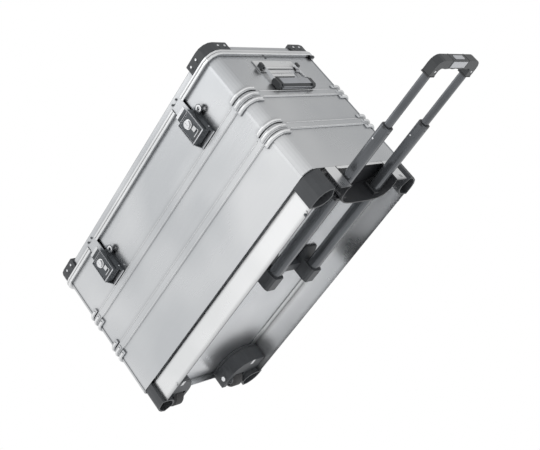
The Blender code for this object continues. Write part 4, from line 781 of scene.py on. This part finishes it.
# %% Tube collars, rivets and lock holes
TUBES = (107, 243)
TUBE_Z = 25
COLLAR_X, COLLAR_SIZE, COLLAR_BAND, COLLAR_LONG, COLLAR_CURVE = 893.0, (24.7, 22.7), 3.5, 5.4, 9.2
DOT_X, DOT_SIDE, DOT_Z = 861, 11.2, 29
HOLE_X, HOLE_ACROSS, HOLE_Z = 886, -1.0, 12.8
TUBE_RIVET = {"radius": 1.9, "height": 0.24, "sides": 16}
HOLE_SHADE_DISC = {"radius": 2.3, "height": 0.24, "sides": 16}

collars, dots, holes = [], [], []
for y in TUBES:
    collars.append(window(at(COLLAR_X, y, TUBE_Z), TOW_END, COLLAR_SIZE, COLLAR_BAND, COLLAR_LONG,
                          COLLAR_CURVE))
    dots.append((at(DOT_X, y - DOT_SIDE, DOT_Z), FRONT))
    dots.append((at(DOT_X, y + DOT_SIDE, DOT_Z), BACK))
    holes.append((at(HOLE_X, y + HOLE_ACROSS, HOLE_Z), DOWN))
settle(join(collars), "tube_collars", BOWL_PLASTIC, "middle_stage")
settle(scatter(head(**TUBE_RIVET), dots), "tube_rivets", STEEL, "middle_stage")
# Painted shade: a flat dark disc stands for the shadowed hole.
settle(scatter(head(**HOLE_SHADE_DISC), holes), "tube_hole_shades", BOWL_PLASTIC, "middle_stage")
print("tube dots:", len(dots), "and lock holes:", len(holes))

# %% [markdown]
# The tow grip is moulded in parts: a seam crosses it on both sides of its middle, where thin grey
# pads lie above and below. A lip ends each sleeve, and a screw holds it.

# %% Tow grip
SEAM_X, SEAM_YS, SEAM_HALF, SEAM_Z = (1056.2, 1077.4), (146, 204), 0.6, (14.1, 35.9)
SEAM_EDGE, PAD_EDGE = 0.3, 0.4
PAD_X, PAD_Y, PAD_ZS = (1059.5, 1074.5), (148.5, 201.5), ((13.9, 14.8), (35.2, 36.1))
LIP_X, LIP_SIZE, LIP_BAND, LIP_LONG = 1034.6, (21.0, 22.0), 1.0, 3.0
SCREW_X, SCREW_Z = 1049, 14.6
SLEEVE_SCREW = {"radius": 2.4, "height": 0.8, "sides": 18, "dish": 0.5}

seams = [block(at(SEAM_X[0], y - SEAM_HALF, SEAM_Z[0]), at(SEAM_X[1], y + SEAM_HALF, SEAM_Z[1]), SEAM_EDGE)
         for y in SEAM_YS]
settle(join(seams), "grip_seams", BOWL_PLASTIC, "inner_stage")
pads = [block(at(PAD_X[0], PAD_Y[0], low), at(PAD_X[1], PAD_Y[1], high), PAD_EDGE) for low, high in PAD_ZS]
settle(join(pads), "grip_pads", BUTTON_PLASTIC, "inner_stage")
sleeves = [window(at(LIP_X, y, TUBE_Z), TOW_END, LIP_SIZE, LIP_BAND, LIP_LONG) for y in TUBES]
settle(join(sleeves), "grip_sleeve_lips", BOWL_PLASTIC, "inner_stage")
screws = [(at(SCREW_X, y, SCREW_Z), DOWN) for y in TUBES]
settle(scatter(head(**SLEEVE_SCREW), screws), "grip_screws", STEEL, "inner_stage")
print("tow grip dressed: seams, pads, sleeve lips and screws")

# %% [markdown]
# The bowl's mouth is edged by a bright aluminium sill between the two end strips, and each
# strip carries a pair of small slanted slots. Dark slivers turned a little paint the shade in them.

# %% Sill and strip slots
SILL_LOW, SILL_HIGH, SILL_EDGE = (755.2, 93.6, 49.6), (756.7, 256.4, 56.4), 0.5
SLOT_YS, SLOT_HALF, SLOT_X, SLOT_Z = (66, 71, 279, 284), 0.7, (755.7, 756.3), (5, 13)
SLOT_EDGE, SLOT_TURN = 0.2, math.radians(24)

sill = block(at(*SILL_LOW), at(*SILL_HIGH), SILL_EDGE)
settle(sill, "bowl_sill", STRIP_METAL, "case")
slots = []
for y in SLOT_YS:
    slot = block(at(SLOT_X[0], y - SLOT_HALF, SLOT_Z[0]), at(SLOT_X[1], y + SLOT_HALF, SLOT_Z[1]), SLOT_EDGE)
    slot.rotation_euler = (SLOT_TURN, 0, 0)
    slots.append(slot)
# Painted shade: dark slivers stand for the shade inside the slots.
settle(join(slots), "strip_slot_shades", LATCH_COAT, "case")
print("strip slots:", len(slots))

# %% [markdown]
# A few small dark things break the plain metal: a clip under each skirt, a stop under the rim
# at the far end of both end walls, and a rivet above each drop handle.

# %% Clips, stops and wall rivets
CLIP_X, CLIP_YS, CLIP_HALF_X, CLIP_HALF_Y, CLIP_HEIGHT, CLIP_EDGE = 678, (7.8, 342.2), 2.6, 1.4, 6.4, 0.6
STOP_OUT, STOP_Y, STOP_HALF, STOP_Z, STOP_EDGE = (1, 7), 331, 7, (391.4, 397.4), 0.8
WALL_RIVET_OUT, WALL_RIVET_Y, WALL_RIVET_Z = 0.1, 167, 393
WALL_RIVET = {"radius": 2.6, "height": 0.9, "sides": 16}

clips = [block(at(CLIP_X - CLIP_HALF_X, y - CLIP_HALF_Y, 0),
               at(CLIP_X + CLIP_HALF_X, y + CLIP_HALF_Y, CLIP_HEIGHT), CLIP_EDGE) for y in CLIP_YS]
settle(join(clips), "skirt_clips", LATCH_COAT, "case")
stops = [end_block(side, STOP_OUT, STOP_Y, STOP_HALF, STOP_Z, STOP_EDGE) for side in ENDS.values()]
settle(join(stops), "rim_stops", BOWL_PLASTIC, "case")
spots = [(at(out_from_wall(side, WALL_RIVET_OUT), WALL_RIVET_Y, WALL_RIVET_Z), outward)
         for side, outward in ((1, TOW_END), (-1, WHEEL_END))]
settle(scatter(head(**WALL_RIVET), spots), "end_wall_rivets", LATCH_COAT, "case")
print("clips:", len(clips), "stops:", len(stops), "wall rivets:", len(spots))

# %% [markdown]
# The next two details are made of round bars. A bar is a cylinder made at the origin and turned
# to lie between two points.

# %% Round bars
ROD_SIDES = 16


def rod(start, end, radius):
    """A round bar between two points."""
    start, end = Vector(start), Vector(end)
    clear_selection()
    bpy.ops.mesh.primitive_cylinder_add(vertices=ROD_SIDES, radius=radius * MM, depth=(end - start).length)
    piece = bpy.context.object
    piece.matrix_world = Matrix.Translation((start + end) / 2) @ facing(end - start)
    return piece


print("a round bar has", ROD_SIDES, "sides")

# %% [markdown]
# Each corner has two clusters of three pressed ribs. A smooth rounded band of brighter rim metal
# runs over each one, round the corner and a little along both walls: a painted highlight.
# A band is a quarter of a torus with a round bar at both ends, sunk into the rib. The quarter
# is what stays when every face on the wrong side of the corner's middle is deleted.

# %% Rib crowns
CORNER_RADIUS, RIB_PROUD, RIB_LEG, RIB_PITCH = 27.0, 5.2, 36.0, 16
CROWN_RADIUS, CROWN_SUNK = 3.2, 0.45
CROWN_SIDES, CROWN_STEPS = 64, 14
BEAD_LEVELS = (277.0, 179.0)


def crown(side_x, side_y, level):
    """A band round one corner at one level, with a short leg on each wall."""
    centre_x = LENGTH - CORNER_RADIUS if side_x > 0 else CORNER_RADIUS
    centre_y = WIDTH - CORNER_RADIUS if side_y > 0 else CORNER_RADIUS
    middle = at(centre_x, centre_y, level)
    reach = CORNER_RADIUS + RIB_PROUD - CROWN_RADIUS * CROWN_SUNK
    clear_selection()
    bpy.ops.mesh.primitive_torus_add(location=middle, major_radius=reach * MM, minor_radius=CROWN_RADIUS * MM,
                                     major_segments=CROWN_SIDES, minor_segments=CROWN_STEPS)
    ring = bpy.context.object
    bake_place(ring)
    choose(ring, lambda centre, normal:
           min(side_x * (centre.x - middle.x), side_y * (centre.y - middle.y)) < 0)
    bpy.ops.mesh.delete(type="FACE")
    bpy.ops.object.mode_set(mode="OBJECT")
    leg = RIB_LEG - CORNER_RADIUS
    wall_y, wall_x = centre_y + side_y * reach, centre_x + side_x * reach
    return [ring,
            rod(at(centre_x, wall_y, level), at(centre_x - side_x * leg, wall_y, level), CROWN_RADIUS),
            rod(at(wall_x, centre_y, level), at(wall_x, centre_y - side_y * leg, level), CROWN_RADIUS)]


crowns = []
for side_x, side_y in ((1, -1), (1, 1), (-1, -1), (-1, 1)):
    for level in BEAD_LEVELS:
        for step in (-RIB_PITCH, 0, RIB_PITCH):
            crowns += crown(side_x, side_y, level + step)
# Painted highlight: the rounded crowns catch real light, and their brighter metal paints more.
settle(join(crowns), "rib_crown_highlights", RIM_METAL, "case")
print("rib crowns at levels", BEAD_LEVELS)

# %% [markdown]
# Both edges of the two beads catch the light as thin lines on all four walls. A thin round bar of
# bright rim metal, a painted highlight, is half sunk along each edge, between the corners' ribs.

# %% Bead lines
BEAD_FACE, BEAD_EDGE, BEAD_END, LINE_RADIUS = 3.0, 7.6, 48, 0.9

lines = []
for level in BEAD_LEVELS:
    for z in (level - BEAD_EDGE, level + BEAD_EDGE):
        for y in (-BEAD_FACE, WIDTH + BEAD_FACE):
            lines.append(rod(at(BEAD_END, y, z), at(LENGTH - BEAD_END, y, z), LINE_RADIUS))
        for x in (-BEAD_FACE, LENGTH + BEAD_FACE):
            lines.append(rod(at(x, BEAD_END, z), at(x, WIDTH - BEAD_END, z), LINE_RADIUS))
# Painted highlight: bright bars stand for the light caught on the bead edges.
settle(join(lines), "bead_highlight_lines", RIM_METAL, "case")
print("bead lines:", len(lines))

# %% [markdown]
# The feet at the handle end are hollow mouldings. Fine ribs stand inside the hollow to stiffen
# it: three across and one along.

# %% Feet
FOOT_RIBS_IN, FOOT_RIB_HALF, FOOT_RIB_Y = (16, 26, 36), 0.8, (8, 42)
LONG_RIB_Y, LONG_RIB_IN = (24, 25.6), (44, 9)
FOOT_RIB_Z, FOOT_RIB_EDGE = (12, 49.4), 0.2


def foot_ribs(label, far_y):
    """Crossing ribs inside a foot's hollow, set up from the floor."""
    def from_wall(distances):
        return sorted(WIDTH - distance if far_y else distance for distance in distances)

    low, high = FOOT_RIB_Z
    near, far = from_wall(FOOT_RIB_Y)
    ribs = [block(at(LENGTH - inset - FOOT_RIB_HALF, near, low),
                  at(LENGTH - inset + FOOT_RIB_HALF, far, high), FOOT_RIB_EDGE) for inset in FOOT_RIBS_IN]
    near, far = from_wall(LONG_RIB_Y)
    ribs.append(block(at(LENGTH - LONG_RIB_IN[0], near, low), at(LENGTH - LONG_RIB_IN[1], far, high),
                      FOOT_RIB_EDGE))
    settle(join(ribs), f"foot_ribs_{label}", CORNER_PLASTIC, "case")


foot_ribs("a", False)
foot_ribs("b", True)
print("ribs in each foot:", len(FOOT_RIBS_IN) + 1)

# %% [markdown]
# Behind the case, dished screws fix the hinge leaves: four in each lower leaf, and three in
# each upper one, which turns with the lid.

# %% Hinge screws
HINGES = (161, 595)
LEAF_Y = 352.2
LOW_ACROSS, LOW_ZS = (-24, 24), (361, 376)
TOP_ACROSS, TOP_Z = (-24, 0, 24), 419.6
LOW_SCREW = {"radius": 3.0, "height": 1.0, "dish": 0.6}
TOP_SCREW = {"radius": 2.4, "height": 1.0, "dish": 0.6}
low_spots = [(at(x + across, LEAF_Y, z), BACK) for x in HINGES for across in LOW_ACROSS for z in LOW_ZS]
top_spots = [(at(x + across, LEAF_Y, TOP_Z), BACK) for x in HINGES for across in TOP_ACROSS]
settle(scatter(head(**LOW_SCREW), low_spots), "hinge_screws_low", STEEL, "case")
settle(scatter(head(**TOP_SCREW), top_spots), "hinge_screws_top", STEEL, "lid")
print("hinge screws:", len(low_spots) + len(top_spots))

# %% [markdown]
# A pale patch on the underside of each wheel housing is a painted highlight, as a soft-edged thin
# block.

# %% Housing patches
PATCH_X, PATCH_YS, PATCH_HALF, PATCH_Z, PATCH_EDGE = (79, 95), (51, 299), 4.5, (12.9, 13.8), 0.4
patches = [block(at(PATCH_X[0], y - PATCH_HALF, PATCH_Z[0]), at(PATCH_X[1], y + PATCH_HALF, PATCH_Z[1]),
                 PATCH_EDGE) for y in PATCH_YS]
# Painted highlight: a pale thin block on each housing.
settle(join(patches), "housing_highlights", MARK, "case")
print("housing patches:", len(patches))

# %% [markdown]
# The wheels turn on a bright axle. Five bolts ring each hub, so that the turning can be seen.

# %% Hub bolts
WHEELS = {"a": 70, "b": 280}
AXLE_X, AXLE_Z = 19, 25
BOLT_RING, BOLT_SIDE, BOLT_COUNT = 11.0, 9.0, 5
HUB_BOLT = {"radius": 1.6, "height": 1.2, "sides": 6}
for label, y in WHEELS.items():
    spots = []
    for side in (-1, 1):
        for i in range(BOLT_COUNT):
            turn = 2 * math.pi * i / BOLT_COUNT
            x = AXLE_X + BOLT_RING * math.cos(turn)
            z = AXLE_Z + BOLT_RING * math.sin(turn)
            spots.append((at(x, y + side * BOLT_SIDE, z), (0, side, 0)))
    settle(scatter(head(**HUB_BOLT), spots), f"hub_bolts_{label}", STEEL, f"wheel_{label}")
print("hub bolts:", BOLT_COUNT, "on each side of each wheel")

# %% [markdown]
# The photograph looks up at the case from below its handle end. The camera's turn and place
# were solved from the straight edges of the box, so they are given here as they came out: a
# turn about one axis, the eye's place in the case's millimetres, and the lens in pixels.

# %% Camera
IMAGE_WIDTH = 540
TURN = Vector((1.248, -0.036, -1.125))
EYE = (1778.97, -1676.41, -811.39)
FOCAL_PIXELS = 1074.618
SENSOR = 36.0
CLIP_END = 50

camera_data = bpy.data.cameras.new("view")
camera_data.sensor_width = SENSOR
camera_data.lens = SENSOR * FOCAL_PIXELS / IMAGE_WIDTH
camera_data.clip_end = CLIP_END
camera = bpy.data.objects.new("view", camera_data)
bpy.context.scene.collection.objects.link(camera)
seen = Matrix.Rotation(TURN.length, 3, TURN.normalized())
upright = Matrix(((1, 0, 0), (0, -1, 0), (0, 0, -1)))
camera.matrix_world = Matrix.Translation(at(*EYE)) @ (seen.transposed() @ upright).to_4x4()
bpy.context.scene.camera = camera
print("camera lens", round(camera_data.lens, 2), "mm")

# %% [markdown]
# The light is a plain white studio: a white world that is a little dimmer behind and above the
# case. Bare metal shows whatever stands around it, and that soft fall of light is what makes
# its beads and ribs readable. The camera itself sees plain white.

# %% World
CAMERA_LEVEL = 1.0
BRIGHT_LEVEL, DIM_LEVEL = 0.98, 0.62
DIM_AXIS = (0, 0.5, 0.85)
DIM_START, DIM_END = -0.15, 0.90

world = bpy.data.worlds.new("studio")
world.use_nodes = True
bpy.context.scene.world = world
tree = world.node_tree
tree.nodes.clear()
path = tree.nodes.new("ShaderNodeLightPath")
direction = tree.nodes.new("ShaderNodeTexCoord")
along = tree.nodes.new("ShaderNodeVectorMath")
along.operation = "DOT_PRODUCT"
along.inputs[1].default_value = DIM_AXIS
tree.links.new(direction.outputs["Generated"], along.inputs[0])
fall = tree.nodes.new("ShaderNodeMapRange")
fall.interpolation_type = "SMOOTHSTEP"
for socket, value in (("From Min", DIM_START), ("From Max", DIM_END),
                      ("To Min", BRIGHT_LEVEL), ("To Max", DIM_LEVEL)):
    fall.inputs[socket].default_value = value
tree.links.new(along.outputs["Value"], fall.inputs["Value"])
level = tree.nodes.new("ShaderNodeMix")
level.inputs["B"].default_value = CAMERA_LEVEL
tree.links.new(path.outputs["Is Camera Ray"], level.inputs["Factor"])
tree.links.new(fall.outputs["Result"], level.inputs["A"])
glow = tree.nodes.new("ShaderNodeBackground")
glow.inputs["Color"].default_value = (1, 1, 1, 1)
tree.links.new(level.outputs["Result"], glow.inputs["Strength"])
end = tree.nodes.new("ShaderNodeOutputWorld")
tree.links.new(glow.outputs[0], end.inputs["Surface"])
print("world level", BRIGHT_LEVEL, "to", DIM_LEVEL)

# %% [markdown]
# One broad soft lamp throws the shadow. A sun with a wide angle is as soft as a large lamp and
# as strong everywhere.

# %% Lamp
SUN_LEVEL, SUN_SPREAD = 0.45, math.radians(40)
SUN_TURN = (math.radians(38), math.radians(-16), 0)
lamp_data = bpy.data.lights.new("window", "SUN")
lamp_data.energy = SUN_LEVEL
lamp_data.angle = SUN_SPREAD
lamp = bpy.data.objects.new("window", lamp_data)
lamp.rotation_euler = SUN_TURN
bpy.context.scene.collection.objects.link(lamp)
print("lamp level", SUN_LEVEL)

# %% [markdown]
# A pale floor lies under the case. The photograph is taken from below it, so the floor shows
# only from above and only to the camera: every other ray passes through, and the underside
# stays lit as it is in the photograph.

# %% Floor
FLOOR_SIZE = 14
FLOOR_DROP = 0.0006
FLOOR_COLOUR, FLOOR_ROUGH = (0.92, 0.92, 0.925), 0.9
bpy.ops.object.select_all(action="DESELECT")
bpy.ops.mesh.primitive_plane_add(size=FLOOR_SIZE, location=(0, 0, -FLOOR_DROP))
floor = bpy.context.object
floor.name = "floor"
paint = Look("floor_paint", FLOOR_COLOUR, FLOOR_ROUGH)
rays = paint.node("ShaderNodeLightPath")
behind = paint.node("ShaderNodeNewGeometry", output="Backfacing")
shown = rays * (1 - behind)
clear = paint.node("ShaderNodeBsdfTransparent")
solid = Wire(paint, paint.shader.outputs[0])
mixed = paint.node("ShaderNodeMixShader", {}, {0: shown, 1: clear, 2: solid})
paint.tree.links.new(mixed.socket, paint.tree.nodes["Material Output"].inputs["Surface"])
floor.data.materials.append(paint.material)
print("floor", FLOOR_SIZE, "m wide")

# %% [markdown]
# The render uses Blender's plain Standard view, so that a colour shows as it was written.

# %% Finish
bpy.context.scene.view_settings.view_transform = "Standard"
